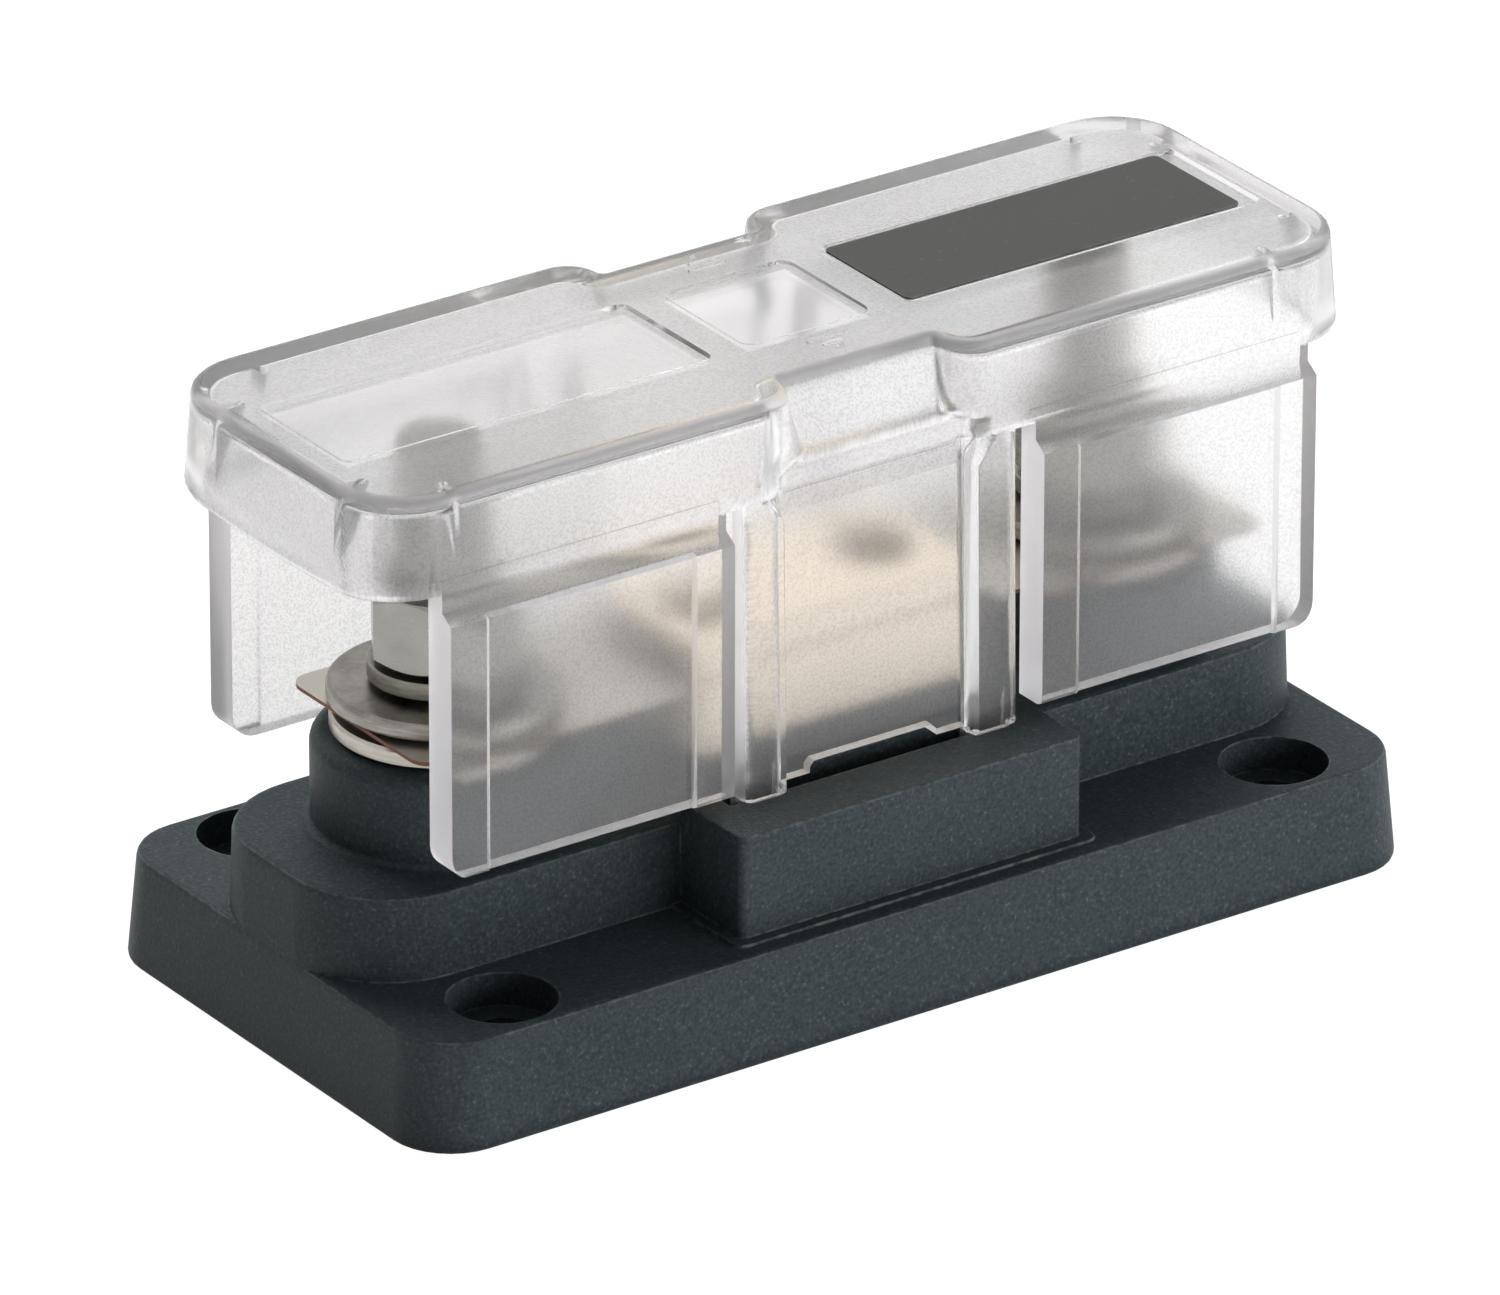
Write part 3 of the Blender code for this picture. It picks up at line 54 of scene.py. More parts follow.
def from_cad(node, name, rim=0.0):
    """Copy of a CAD node as joined flat faces, its sharp rims rounded and shaded smooth."""
    shape = bmesh.new()
    shape.from_mesh(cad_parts[node].data)
    bmesh.ops.remove_doubles(shape, verts=shape.verts, dist=JOIN_DISTANCE)
    bmesh.ops.dissolve_limit(
        shape, angle_limit=FLAT_ANGLE, verts=shape.verts, edges=shape.edges
    )
    mesh = bpy.data.meshes.new(name)
    shape.to_mesh(mesh)
    shape.free()
    for polygon in mesh.polygons:
        polygon.use_smooth = True
    mesh.set_sharp_from_angle(angle=SMOOTH_ANGLE)
    obj = bpy.data.objects.new(name, mesh)
    scene.collection.objects.link(obj)
    if rim:
        bevel = obj.modifiers.new("rims", "BEVEL")
        bevel.width = rim
        bevel.segments = RIM_STEPS
        bevel.limit_method = "ANGLE"
        bevel.angle_limit = RIM_ANGLE
    weigh = obj.modifiers.new("normals", "WEIGHTED_NORMAL")
    weigh.keep_sharp = True
    return obj


def new_material(name):
    material = bpy.data.materials.new(name)
    material.use_nodes = True
    return material


def add_node(tree, kind, label=None, **values):
    """Node with its inputs set by name, and its plain settings by attribute."""
    node = tree.nodes.new(kind)
    if label:
        node.label = label
    for key, value in values.items():
        socket = key.replace("_", " ")
        if socket in node.inputs:
            node.inputs[socket].default_value = value
        else:
            setattr(node, key, value)
    return node


def mix_colours(tree, label, **colours):
    """Mix node for colours, its A or B given as red, green and blue."""
    opaque = {key: (*colour, 1.0) for key, colour in colours.items()}
    return add_node(tree, "ShaderNodeMix", label, data_type="RGBA", **opaque)


def link(tree, start, end):
    tree.links.new(start, end)


def add_float_inputs(tree, inputs):
    """One named float input for each size or setting, with its default."""
    for label, value in inputs.items():
        socket = tree.interface.new_socket(
            label, in_out="INPUT", socket_type="NodeSocketFloat"
        )
        socket.default_value = value


def start_group(name, inputs, outputs):
    """Empty shader group with float inputs and their defaults, and float outputs."""
    group = bpy.data.node_groups.new(name, "ShaderNodeTree")
    add_float_inputs(group, inputs)
    for label in outputs:
        group.interface.new_socket(label, in_out="OUTPUT", socket_type="NodeSocketFloat")
    return group, group.nodes.new("NodeGroupInput"), group.nodes.new("NodeGroupOutput")


def place_group(tree, group, **values):
    node = tree.nodes.new("ShaderNodeGroup")
    node.node_tree = group
    node.label = group.name
    for key, value in values.items():
        node.inputs[key.replace("_", " ")].default_value = value
    return node


def make_grain_group():
    """Fine moulded or cast grain: a height, and a slow blotch that goes with it."""
    group, entry, leave = start_group(
        "moulded_grain",
        {"Grain Scale": 1500.0, "Grain Detail": 4.0, "Blotch Scale": 70.0},
        ["Height", "Blotch"],
    )
    coordinates = add_node(group, "ShaderNodeTexCoord")
    grain = add_node(group, "ShaderNodeTexNoise", "grain", Roughness=0.6)
    blotch = add_node(group, "ShaderNodeTexNoise", "blotch", Detail=3.0, Roughness=0.55)
    link(group, coordinates.outputs["Object"], grain.inputs["Vector"])
    link(group, coordinates.outputs["Object"], blotch.inputs["Vector"])
    link(group, entry.outputs["Grain Scale"], grain.inputs["Scale"])
    link(group, entry.outputs["Grain Detail"], grain.inputs["Detail"])
    link(group, entry.outputs["Blotch Scale"], blotch.inputs["Scale"])
    link(group, grain.outputs["Fac"], leave.inputs["Height"])
    link(group, blotch.outputs["Fac"], leave.inputs["Blotch"])
    return group


def make_edge_group():
    """Mask that is bright along outer edges and broken up by a noise."""
    group, entry, leave = start_group(
        "edge_wear", {"Width": 0.4 * MM, "Breakup Scale": 700.0}, ["Mask"]
    )
    rounded = add_node(group, "ShaderNodeBevel", "rounded", samples=4)
    geometry = add_node(group, "ShaderNodeNewGeometry")
    dot = add_node(group, "ShaderNodeVectorMath", operation="DOT_PRODUCT")
    ramp = add_node(group, "ShaderNodeMapRange", "edge", From_Min=0.995, From_Max=0.90)
    coordinates = add_node(group, "ShaderNodeTexCoord")
    noise = add_node(group, "ShaderNodeTexNoise", "breakup", Detail=3.0)
    lift = add_node(
        group, "ShaderNodeMapRange", "breakup range", From_Min=0.42, From_Max=0.60, To_Min=0.15
    )
    both = add_node(group, "ShaderNodeMath", operation="MULTIPLY")
    link(group, entry.outputs["Width"], rounded.inputs["Radius"])
    link(group, entry.outputs["Breakup Scale"], noise.inputs["Scale"])
    link(group, coordinates.outputs["Object"], noise.inputs["Vector"])
    link(group, rounded.outputs["Normal"], dot.inputs[0])
    link(group, geometry.outputs["Normal"], dot.inputs[1])
    link(group, dot.outputs["Value"], ramp.inputs["Value"])
    link(group, noise.outputs["Fac"], lift.inputs["Value"])
    link(group, ramp.outputs["Result"], both.inputs[0])
    link(group, lift.outputs["Result"], both.inputs[1])
    link(group, both.outputs["Value"], leave.inputs["Mask"])
    return group


GRAIN = make_grain_group()
EDGE = make_edge_group()
GRAIN_HEIGHT = 0.12 * MM
MOTTLE_SHARE = 0.65
PLASTIC_SWING = 0.06


def moulded_plastic(
    name, deep, pale, worn, roughness, bump=0.25, edge_share=0.5, grain=1500.0, specular=0.5
):
    """Opaque moulded plastic: two close tones, fine grain, pale specks and paler rims."""
    material = new_material(name)
    tree = material.node_tree
    shader = tree.nodes["Principled BSDF"]
    shader.inputs["Specular IOR Level"].default_value = specular
    surface = place_group(tree, GRAIN, Grain_Scale=grain)
    edge = place_group(tree, EDGE)
    mottle = add_node(tree, "ShaderNodeMapRange", "mottle", From_Min=0.36, From_Max=0.64)
    shares = add_node(
        tree, "ShaderNodeMix", "blotch and mottle", data_type="FLOAT", Factor=MOTTLE_SHARE
    )
    tones = mix_colours(tree, "tones", A=deep, B=pale)
    speck = add_node(
        tree, "ShaderNodeMapRange", "pale specks", From_Min=0.62, From_Max=0.74, To_Max=0.35
    )
    most = add_node(tree, "ShaderNodeMath", operation="MAXIMUM")
    share = add_node(tree, "ShaderNodeMath", operation="MULTIPLY")
    share.inputs[1].default_value = edge_share
    rubbed = mix_colours(tree, "rubbed", B=worn)
    rough = add_node(
        tree,
        "ShaderNodeMapRange",
        "roughness",
        To_Min=roughness - PLASTIC_SWING,
        To_Max=roughness + PLASTIC_SWING,
    )
    height = add_node(tree, "ShaderNodeBump", "grain", Strength=bump, Distance=GRAIN_HEIGHT)
    link(tree, surface.outputs["Height"], mottle.inputs["Value"])
    link(tree, surface.outputs["Blotch"], shares.inputs["A"])
    link(tree, mottle.outputs["Result"], shares.inputs["B"])
    link(tree, shares.outputs["Result"], tones.inputs["Factor"])
    link(tree, surface.outputs["Height"], speck.inputs["Value"])
    link(tree, edge.outputs["Mask"], share.inputs[0])
    link(tree, share.outputs["Value"], most.inputs[0])
    link(tree, speck.outputs["Result"], most.inputs[1])
    link(tree, most.outputs["Value"], rubbed.inputs["Factor"])
    link(tree, tones.outputs["Result"], rubbed.inputs["A"])
    link(tree, rubbed.outputs["Result"], shader.inputs["Base Color"])
    link(tree, surface.outputs["Height"], rough.inputs["Value"])
    link(tree, rough.outputs["Result"], shader.inputs["Roughness"])
    link(tree, surface.outputs["Height"], height.inputs["Height"])
    link(tree, height.outputs["Normal"], shader.inputs["Normal"])
    return material


def finish_piece(obj, material, body, slot, *nodes):
    """Gives a finished piece its material and ties it to the frame."""
    obj.data.materials.clear()
    obj.data.materials.append(material)
    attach(obj, body)
    if nodes:
        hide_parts(*nodes)


NYLON_DEEP = (0.020, 0.029, 0.033)
NYLON_PALE = (0.060, 0.078, 0.086)
NYLON_WORN = (0.260, 0.280, 0.275)
BASE_RIM = 0.35 * MM

black_nylon = moulded_plastic(
    "black_nylon",
    NYLON_DEEP,
    NYLON_PALE,
    NYLON_WORN,
    roughness=0.52,
    bump=0.6,
    edge_share=0.7,
    grain=2300.0,
    specular=0.2,
)
base = from_cad("base", "base_moulding", BASE_RIM)
finish_piece(base, black_nylon, "holder", "black_nylon", "base")

# Stud plugs: small hexagonal stoppers in plain black plastic, pressed in below the bolt heads
# so that nothing live reaches the surface the holder is screwed to.

PLUG_DEEP = (0.040, 0.040, 0.040)
PLUG_PALE = (0.055, 0.055, 0.054)
SIDES = ("left", "right")

plug_plastic = moulded_plastic(
    "plug_plastic", PLUG_DEEP, PLUG_PALE, NYLON_WORN, roughness=0.6
)
for side in SIDES:
    plug = from_cad("stud_plug_" + side, "plug_" + side)
    finish_piece(plug, plug_plastic, "holder", "plug_plastic", "stud_plug_" + side)

# Terminal studs: zinc plated steel bolts with rolled threads and a domed end, held by their
# hexagonal heads in the underside of the base.


def make_metal_group():
    """Worked metal: fine scratches, and slow clouding of its plating."""
    group, entry, leave = start_group(
        "worked_metal", {"Scratch Scale": 900.0, "Cloud Scale": 160.0}, ["Scratch", "Cloud"]
    )
    coordinates = add_node(group, "ShaderNodeTexCoord")
    stretch = add_node(
        group, "ShaderNodeMapping", "scratches lie level", Scale=(0.35, 0.35, 3.0)
    )
    scratch = add_node(group, "ShaderNodeTexNoise", "scratch", Detail=5.0, Roughness=0.7)
    cloud = add_node(group, "ShaderNodeTexNoise", "cloud", Detail=3.0)
    link(group, coordinates.outputs["Object"], stretch.inputs["Vector"])
    link(group, stretch.outputs["Vector"], scratch.inputs["Vector"])
    link(group, coordinates.outputs["Object"], cloud.inputs["Vector"])
    link(group, entry.outputs["Scratch Scale"], scratch.inputs["Scale"])
    link(group, entry.outputs["Cloud Scale"], cloud.inputs["Scale"])
    link(group, scratch.outputs["Fac"], leave.inputs["Scratch"])
    link(group, cloud.outputs["Fac"], leave.inputs["Cloud"])
    return group


METAL = make_metal_group()
SCRATCH_DEPTH = 0.05 * MM
METAL_SMOOTHER = 0.08
METAL_ROUGHER = 0.10
UPRIGHT_LIMIT = 0.5


def show_cut_edge(tree, plating, cut_edge):
    """Plating on the level faces, and the bare metal's colour on the upright cut ones."""
    coordinates = add_node(tree, "ShaderNodeTexCoord")
    split = add_node(tree, "ShaderNodeSeparateXYZ")
    level = add_node(tree, "ShaderNodeMath", operation="ABSOLUTE")
    upright = add_node(tree, "ShaderNodeMath", operation="LESS_THAN")
    upright.inputs[1].default_value = UPRIGHT_LIMIT
    edge = mix_colours(tree, "cut edge", B=cut_edge)
    link(tree, coordinates.outputs["Normal"], split.inputs["Vector"])
    link(tree, split.outputs["Z"], level.inputs[0])
    link(tree, level.outputs["Value"], upright.inputs[0])
    link(tree, upright.outputs["Value"], edge.inputs["Factor"])
    link(tree, plating, edge.inputs["A"])
    return edge.outputs["Result"]


def worked_metal(name, dark, light, roughness, bump=0.1, streak=0.4, cut_edge=None):
    """Bare or plated metal in two close tones, streaked; its cut edges may show copper."""
    material = new_material(name)
    tree = material.node_tree
    shader = tree.nodes["Principled BSDF"]
    shader.inputs["Metallic"].default_value = 1.0
    metal = place_group(tree, METAL)
    streaks = add_node(tree, "ShaderNodeMapRange", "streaks", From_Min=0.36, From_Max=0.64)
    shares = add_node(
        tree, "ShaderNodeMix", "clouds and streaks", data_type="FLOAT", Factor=streak
    )
    tones = mix_colours(tree, "tones", A=dark, B=light)
    rough = add_node(
        tree,
        "ShaderNodeMapRange",
        "roughness",
        To_Min=roughness - METAL_SMOOTHER,
        To_Max=roughness + METAL_ROUGHER,
    )
    height = add_node(
        tree, "ShaderNodeBump", "scratches", Strength=bump, Distance=SCRATCH_DEPTH
    )
    link(tree, metal.outputs["Scratch"], streaks.inputs["Value"])
    link(tree, metal.outputs["Cloud"], shares.inputs["A"])
    link(tree, streaks.outputs["Result"], shares.inputs["B"])
    link(tree, shares.outputs["Result"], tones.inputs["Factor"])
    link(tree, metal.outputs["Scratch"], rough.inputs["Value"])
    link(tree, rough.outputs["Result"], shader.inputs["Roughness"])
    link(tree, metal.outputs["Scratch"], height.inputs["Height"])
    link(tree, height.outputs["Normal"], shader.inputs["Normal"])
    colour = tones.outputs["Result"]
    if cut_edge:
        colour = show_cut_edge(tree, colour, cut_edge)
    link(tree, colour, shader.inputs["Base Color"])
    return material


ZINC_DARK = (0.270, 0.265, 0.250)
ZINC_LIGHT = (0.480, 0.470, 0.440)
STUD_RADIUS = 4.75 * MM
STUD_PLACES = {"left": -42.2 * MM, "right": 42.2 * MM}
THREAD_ROOT = 4.42 * MM
THREAD_CREST = 4.72 * MM
THREAD_RIDGE = THREAD_CREST - THREAD_ROOT
THREAD_PITCH = 1.5875 * MM
THREAD_FOOT = 36.4 * MM
THREAD_TOP = 64.6 * MM
THREAD_STEPS = 28
RIDGE_SIDES = 4

zinc_steel = worked_metal(
    "zinc_steel", ZINC_DARK, ZINC_LIGHT, roughness=0.26, bump=0.03, streak=0.1
)


def thin_shank(mesh, middle):
    """Brings the shank of a stud that stands at middle in to the root of its thread."""
    for vertex in mesh.vertices:
        reach = Vector((vertex.co.x - middle, vertex.co.y))
        if abs(reach.length - STUD_RADIUS) < THREAD_RIDGE / 3.0:
            reach *= THREAD_ROOT / STUD_RADIUS
            vertex.co.x = middle + reach.x
            vertex.co.y = reach.y


def make_thread_tree(material):
    """Screw ridge: a four-sided profile swept up a spiral about the stud's axis."""
    tree = bpy.data.node_groups.new("rolled_thread", "GeometryNodeTree")
    for way in ("INPUT", "OUTPUT"):
        tree.interface.new_socket("Geometry", in_out=way, socket_type="NodeSocketGeometry")
    sizes = {
        "Radius": THREAD_ROOT,
        "Pitch": THREAD_PITCH,
        "Turns": (THREAD_TOP - THREAD_FOOT) / THREAD_PITCH,
        "Depth": THREAD_RIDGE,
        "Place X": 0.0,
        "Foot": THREAD_FOOT,
    }
    add_float_inputs(tree, sizes)
    entry = tree.nodes.new("NodeGroupInput")
    leave = tree.nodes.new("NodeGroupOutput")
    spiral = add_node(tree, "GeometryNodeCurveSpiral", Resolution=THREAD_STEPS)
    rise = add_node(tree, "ShaderNodeMath", operation="MULTIPLY")
    profile = add_node(tree, "GeometryNodeCurvePrimitiveCircle", Resolution=RIDGE_SIDES)
    level = add_node(tree, "GeometryNodeSetCurveNormal", mode="Z_UP")
    sweep = add_node(tree, "GeometryNodeCurveToMesh", Fill_Caps=True)
    place = add_node(tree, "ShaderNodeCombineXYZ")
    move = add_node(tree, "GeometryNodeTransform")
    real = add_node(tree, "GeometryNodeRealizeInstances")
    paint = add_node(tree, "GeometryNodeSetMaterial", Material=material)
    link(tree, entry.outputs["Turns"], spiral.inputs["Rotations"])
    link(tree, entry.outputs["Radius"], spiral.inputs["Start Radius"])
    link(tree, entry.outputs["Radius"], spiral.inputs["End Radius"])
    link(tree, entry.outputs["Pitch"], rise.inputs[0])
    link(tree, entry.outputs["Turns"], rise.inputs[1])
    link(tree, rise.outputs["Value"], spiral.inputs["Height"])
    link(tree, entry.outputs["Depth"], profile.inputs["Radius"])
    link(tree, spiral.outputs["Curve"], level.inputs["Curve"])
    link(tree, level.outputs["Curve"], sweep.inputs["Curve"])
    link(tree, profile.outputs["Curve"], sweep.inputs["Profile Curve"])
    link(tree, entry.outputs["Place X"], place.inputs["X"])
    link(tree, entry.outputs["Foot"], place.inputs["Z"])
    link(tree, sweep.outputs["Mesh"], move.inputs["Geometry"])
    link(tree, place.outputs["Vector"], move.inputs["Translation"])
    link(tree, move.outputs["Geometry"], real.inputs["Geometry"])
    link(tree, real.outputs["Geometry"], paint.inputs["Geometry"])
    link(tree, paint.outputs["Geometry"], leave.inputs["Geometry"])
    return tree


def grow(name, tree, **values):
    """Runs a geometry tree with its named inputs, and keeps the result as a plain mesh."""
    carrier = bpy.data.objects.new(name, bpy.data.meshes.new(name))
    scene.collection.objects.link(carrier)
    modifier = carrier.modifiers.new("grow", "NODES")
    modifier.node_group = tree
    for socket in tree.interface.items_tree:
        key = socket.name.replace(" ", "_")
        if socket.in_out == "INPUT" and key in values:
            modifier[socket.identifier] = values[key]
    depsgraph = bpy.context.evaluated_depsgraph_get()
    carrier.data = bpy.data.meshes.new_from_object(carrier.evaluated_get(depsgraph))
    carrier.data.name = name
    carrier.modifiers.clear()
    return carrier


THREAD = make_thread_tree(zinc_steel)
for side in SIDES:
    stud = from_cad("stud_" + side, "terminal_stud_" + side)
    thin_shank(stud.data, STUD_PLACES[side])
    finish_piece(stud, zinc_steel, "holder", "zinc_steel", "stud_" + side)
    thread = grow("stud_thread_" + side, THREAD, Place_X=STUD_PLACES[side])
    finish_piece(thread, zinc_steel, "holder", "zinc_steel")

# Contact plates: round discs of tin plated copper that lie on the pedestals and carry the
# current from the fuse's blade to the cable lug.

TIN_DARK = (0.42, 0.39, 0.35)
TIN_LIGHT = (0.68, 0.64, 0.58)

tinned_copper = worked_metal(
    "tinned_copper", TIN_DARK, TIN_LIGHT, roughness=0.30, bump=0.08, streak=0.6
)
for side in SIDES:
    disc = from_cad("contact_plate_" + side, "contact_disc_" + side)
    finish_piece(disc, tinned_copper, "holder", "tinned_copper", "contact_plate_" + side)

# Fuse: a tin plated copper strip that narrows inside its body. The body is two matte cream
# mouldings, closed on the strip by two rivets.

FUSE_MIDDLE = 1.75 * MM
SOLID_END, SOLID_SIDE, SOLID_CORNER = 54.05 * MM, 11.5 * MM, 4.0 * MM
BLADE_END, BLADE_SIDE, BLADE_CORNER = 54.85 * MM, 13.0 * MM, 2.4 * MM
BLADE_MIDDLE = 35.95 * MM
BLADE_HALF_THICK = 0.22 * MM
NEARLY = 0.01 * MM
BLADE_DARK = (0.60, 0.57, 0.50)
BLADE_LIGHT = (0.74, 0.71, 0.64)
CUT_COPPER = (0.15, 0.07, 0.05)


def shape_blades(mesh):
    """Draws the strip out to thin, nearly square blades, as they are stamped."""
    corner_scale = BLADE_CORNER / SOLID_CORNER
    for vertex in mesh.vertices:
        along = abs(vertex.co.x - FUSE_MIDDLE)
        across = abs(vertex.co.y)
        past_end = along - (SOLID_END - SOLID_CORNER)
        past_side = across - (SOLID_SIDE - SOLID_CORNER)
        if past_end > -NEARLY and past_side > -NEARLY:
            along = BLADE_END - BLADE_CORNER + past_end * corner_scale
            across = BLADE_SIDE - BLADE_CORNER + past_side * corner_scale
        elif abs(across - SOLID_SIDE) < NEARLY:
            across = BLADE_SIDE
        vertex.co.x = FUSE_MIDDLE + math.copysign(along, vertex.co.x - FUSE_MIDDLE)
        vertex.co.y = math.copysign(across, vertex.co.y)
        upper = vertex.co.z > BLADE_MIDDLE
        vertex.co.z = BLADE_MIDDLE + (BLADE_HALF_THICK if upper else -BLADE_HALF_THICK)


blade_metal = worked_metal(
    "blade_metal",
    BLADE_DARK,
    BLADE_LIGHT,
    roughness=0.34,
    bump=0.06,
    streak=0.3,
    cut_edge=CUT_COPPER,
)
strip = from_cad("fuse_strip", "fuse_blades")
shape_blades(strip.data)
finish_piece(strip, blade_metal, "holder", "tinned_copper", "fuse_strip")

CREAM_DEEP = (0.95, 0.83, 0.66)
CREAM_PALE = (0.98, 0.88, 0.73)
CREAM_WORN = (0.98, 0.92, 0.83)
FUSE_RIM = 0.25 * MM

cream_body = moulded_plastic(
    "cream_body", CREAM_DEEP, CREAM_PALE, CREAM_WORN, roughness=0.5, bump=0.15
)
for half in ("lower", "upper"):
    shell = from_cad("fuse_body_" + half, "fuse_shell_" + half, FUSE_RIM)
    finish_piece(shell, cream_body, "holder", "cream_body", "fuse_body_" + half)

BRASS_DARK = (0.20, 0.16, 0.11)
BRASS_LIGHT = (0.30, 0.24, 0.16)

rivet_brass = worked_metal("rivet_brass", BRASS_DARK, BRASS_LIGHT, roughness=0.38)
for side in SIDES:
    rivet = from_cad("fuse_rivet_" + side, "body_rivet_" + side)
    finish_piece(rivet, rivet_brass, "holder", "rivet_brass", "fuse_rivet_" + side)

# Washers: a flat washer and a split spring washer on each stud, both zinc plated steel. The
# spring washer is one turn of square wire, cut through and sprung apart.

WASHER_DARK = (0.200, 0.185, 0.165)
WASHER_LIGHT = (0.430, 0.410, 0.370)
WASHER_RIM = 0.2 * MM

washer_steel = worked_metal(
    "washer_steel", WASHER_DARK, WASHER_LIGHT, roughness=0.30, bump=0.08, streak=0.6
)
for side in SIDES:
    for kind in ("flat", "spring"):
        node = kind + "_washer_" + side
        washer = from_cad(node, kind + "_ring_" + side, WASHER_RIM)
        finish_piece(washer, washer_steel, "holder", "zinc_steel", node)

# Nuts: a zinc plated steel hexagonal nut on each stud, tightened down on the spring washer.
# The corners of its hexagon are turned down by a cone at both ends.

NUT_RIM = 0.15 * MM

for side in SIDES:
    nut = from_cad("hex_nut_" + side, "terminal_nut_" + side, NUT_RIM)
    finish_piece(nut, zinc_steel, "nut_" + side, "zinc_steel", "hex_nut_" + side)

# Cover: one moulding in clear polycarbonate, polished outside and finely frosted inside, with
# two lobes, a waist with finger faces, four side panels and two latch tongues.

INNER_HALF_LENGTH = 61.8 * MM
INNER_HALF_WIDTH = 19.35 * MM
INNER_TOP = 69.05 * MM
ROOF_DEPTH = 0.5 * MM
CAP_BOTTOM = 56.0 * MM
WALL_DEPTH = 1.0 * MM
EDGE_TURN = 0.5
RIM_LEVEL = 68.9 * MM
RIM_UPRIGHT = 0.06
RIM_FLAT = 0.985
# Share of the matt roughness and of the painted edge shade that the rounded rims get.
RIM_MATT_AND_SHADE = 0.75


def mark_frost(mesh):
    """Face attributes: frosted inner faces, the roof, and the matt edges and rounded rims,
    which also carry a painted shade.
    """
    frost = mesh.attributes.new("frost", "FLOAT", "FACE")
    roof = mesh.attributes.new("roof", "FLOAT", "FACE")
    matt_and_shade = mesh.attributes.new("matt_and_shade", "FLOAT", "FACE")
    for polygon in mesh.polygons:
        x, y, z = polygon.center
        inside = (
            abs(x) < INNER_HALF_LENGTH and abs(y) < INNER_HALF_WIDTH and z < INNER_TOP
        )
        reach = [mesh.vertices[index].co.y for index in polygon.vertices]
        through_wall = max(reach) - min(reach) > WALL_DEPTH
        edge = z < CAP_BOTTOM and abs(polygon.normal.y) < EDGE_TURN and through_wall
        rim = not inside and z > RIM_LEVEL and RIM_UPRIGHT < polygon.normal.z < RIM_FLAT
        frost.data[polygon.index].value = float(inside and not edge)
        roof.data[polygon.index].value = float(inside and z > INNER_TOP - ROOF_DEPTH)
        matt_and_shade.data[polygon.index].value = RIM_MATT_AND_SHADE if rim else float(edge)


def make_window_group():
    """Mask that is 1 inside a level rectangle with soft sides, by place on the piece."""
    group, entry, leave = start_group(
        "level_window",
        {"Middle X": 0.0, "Half Length": 10.0 * MM, "Half Width": 10.0 * MM, "Soft": 0.2 * MM},
        ["Mask"],
    )
    coordinates = add_node(group, "ShaderNodeTexCoord")
    split = add_node(group, "ShaderNodeSeparateXYZ")
    off = add_node(group, "ShaderNodeMath", operation="SUBTRACT")
    both = add_node(group, "ShaderNodeMath", operation="MINIMUM")
    link(group, coordinates.outputs["Object"], split.inputs["Vector"])
    link(group, split.outputs["X"], off.inputs[0])
    link(group, entry.outputs["Middle X"], off.inputs[1])
    along = (off.outputs["Value"], "Half Length", both.inputs[0])
    across = (split.outputs["Y"], "Half Width", both.inputs[1])
    for place, half, end in (along, across):
        distance = add_node(group, "ShaderNodeMath", operation="ABSOLUTE")
        inside = add_node(group, "ShaderNodeMath", operation="SUBTRACT")
        share = add_node(group, "ShaderNodeMath", operation="DIVIDE", use_clamp=True)
        link(group, place, distance.inputs[0])
        link(group, entry.outputs[half], inside.inputs[0])
        link(group, distance.outputs["Value"], inside.inputs[1])
        link(group, inside.outputs["Value"], share.inputs[0])
        link(group, entry.outputs["Soft"], share.inputs[1])
        link(group, share.outputs["Value"], end)
    link(group, both.outputs["Value"], leave.inputs["Mask"])
    return group


WINDOW = make_window_group()
LOBE_WINDOW_X = -36.05 * MM
LOBE_WINDOW_HALF_LENGTH = 23.2 * MM
LOBE_WINDOW_HALF_WIDTH = 8.3 * MM
LOBE_WINDOW_CLEARNESS = 0.6
WAIST_WINDOW_HALF = 8.0 * MM
WINDOW_SOFT = 0.2 * MM


def frost_mask(tree):
    """1 on frosted inner faces, less in the roof's lobe window, 0 in its waist window."""
    inner = add_node(tree, "ShaderNodeAttribute", "frost", attribute_name="frost")
    lobe = place_group(
        tree,
        WINDOW,
        Middle_X=LOBE_WINDOW_X,
        Half_Length=LOBE_WINDOW_HALF_LENGTH,
        Half_Width=LOBE_WINDOW_HALF_WIDTH,
        Soft=WINDOW_SOFT,
    )
    waist = place_group(
        tree,
        WINDOW,
        Half_Length=WAIST_WINDOW_HALF,
        Half_Width=WAIST_WINDOW_HALF,
        Soft=WINDOW_SOFT,
    )
    weaker = add_node(tree, "ShaderNodeMath", operation="MULTIPLY")
    weaker.inputs[1].default_value = LOBE_WINDOW_CLEARNESS
    either = add_node(tree, "ShaderNodeMath", operation="MAXIMUM")
    roof = add_node(tree, "ShaderNodeAttribute", "roof", attribute_name="roof")
    opened = add_node(tree, "ShaderNodeMath", operation="MULTIPLY")
    frost = add_node(tree, "ShaderNodeMath", operation="SUBTRACT", use_clamp=True)
    link(tree, lobe.outputs["Mask"], weaker.inputs[0])
    link(tree, weaker.outputs["Value"], either.inputs[0])
    link(tree, waist.outputs["Mask"], either.inputs[1])
    link(tree, either.outputs["Value"], opened.inputs[0])
    link(tree, roof.outputs["Fac"], opened.inputs[1])
    link(tree, inner.outputs["Fac"], frost.inputs[0])
    link(tree, opened.outputs["Value"], frost.inputs[1])
    return frost.outputs["Value"]


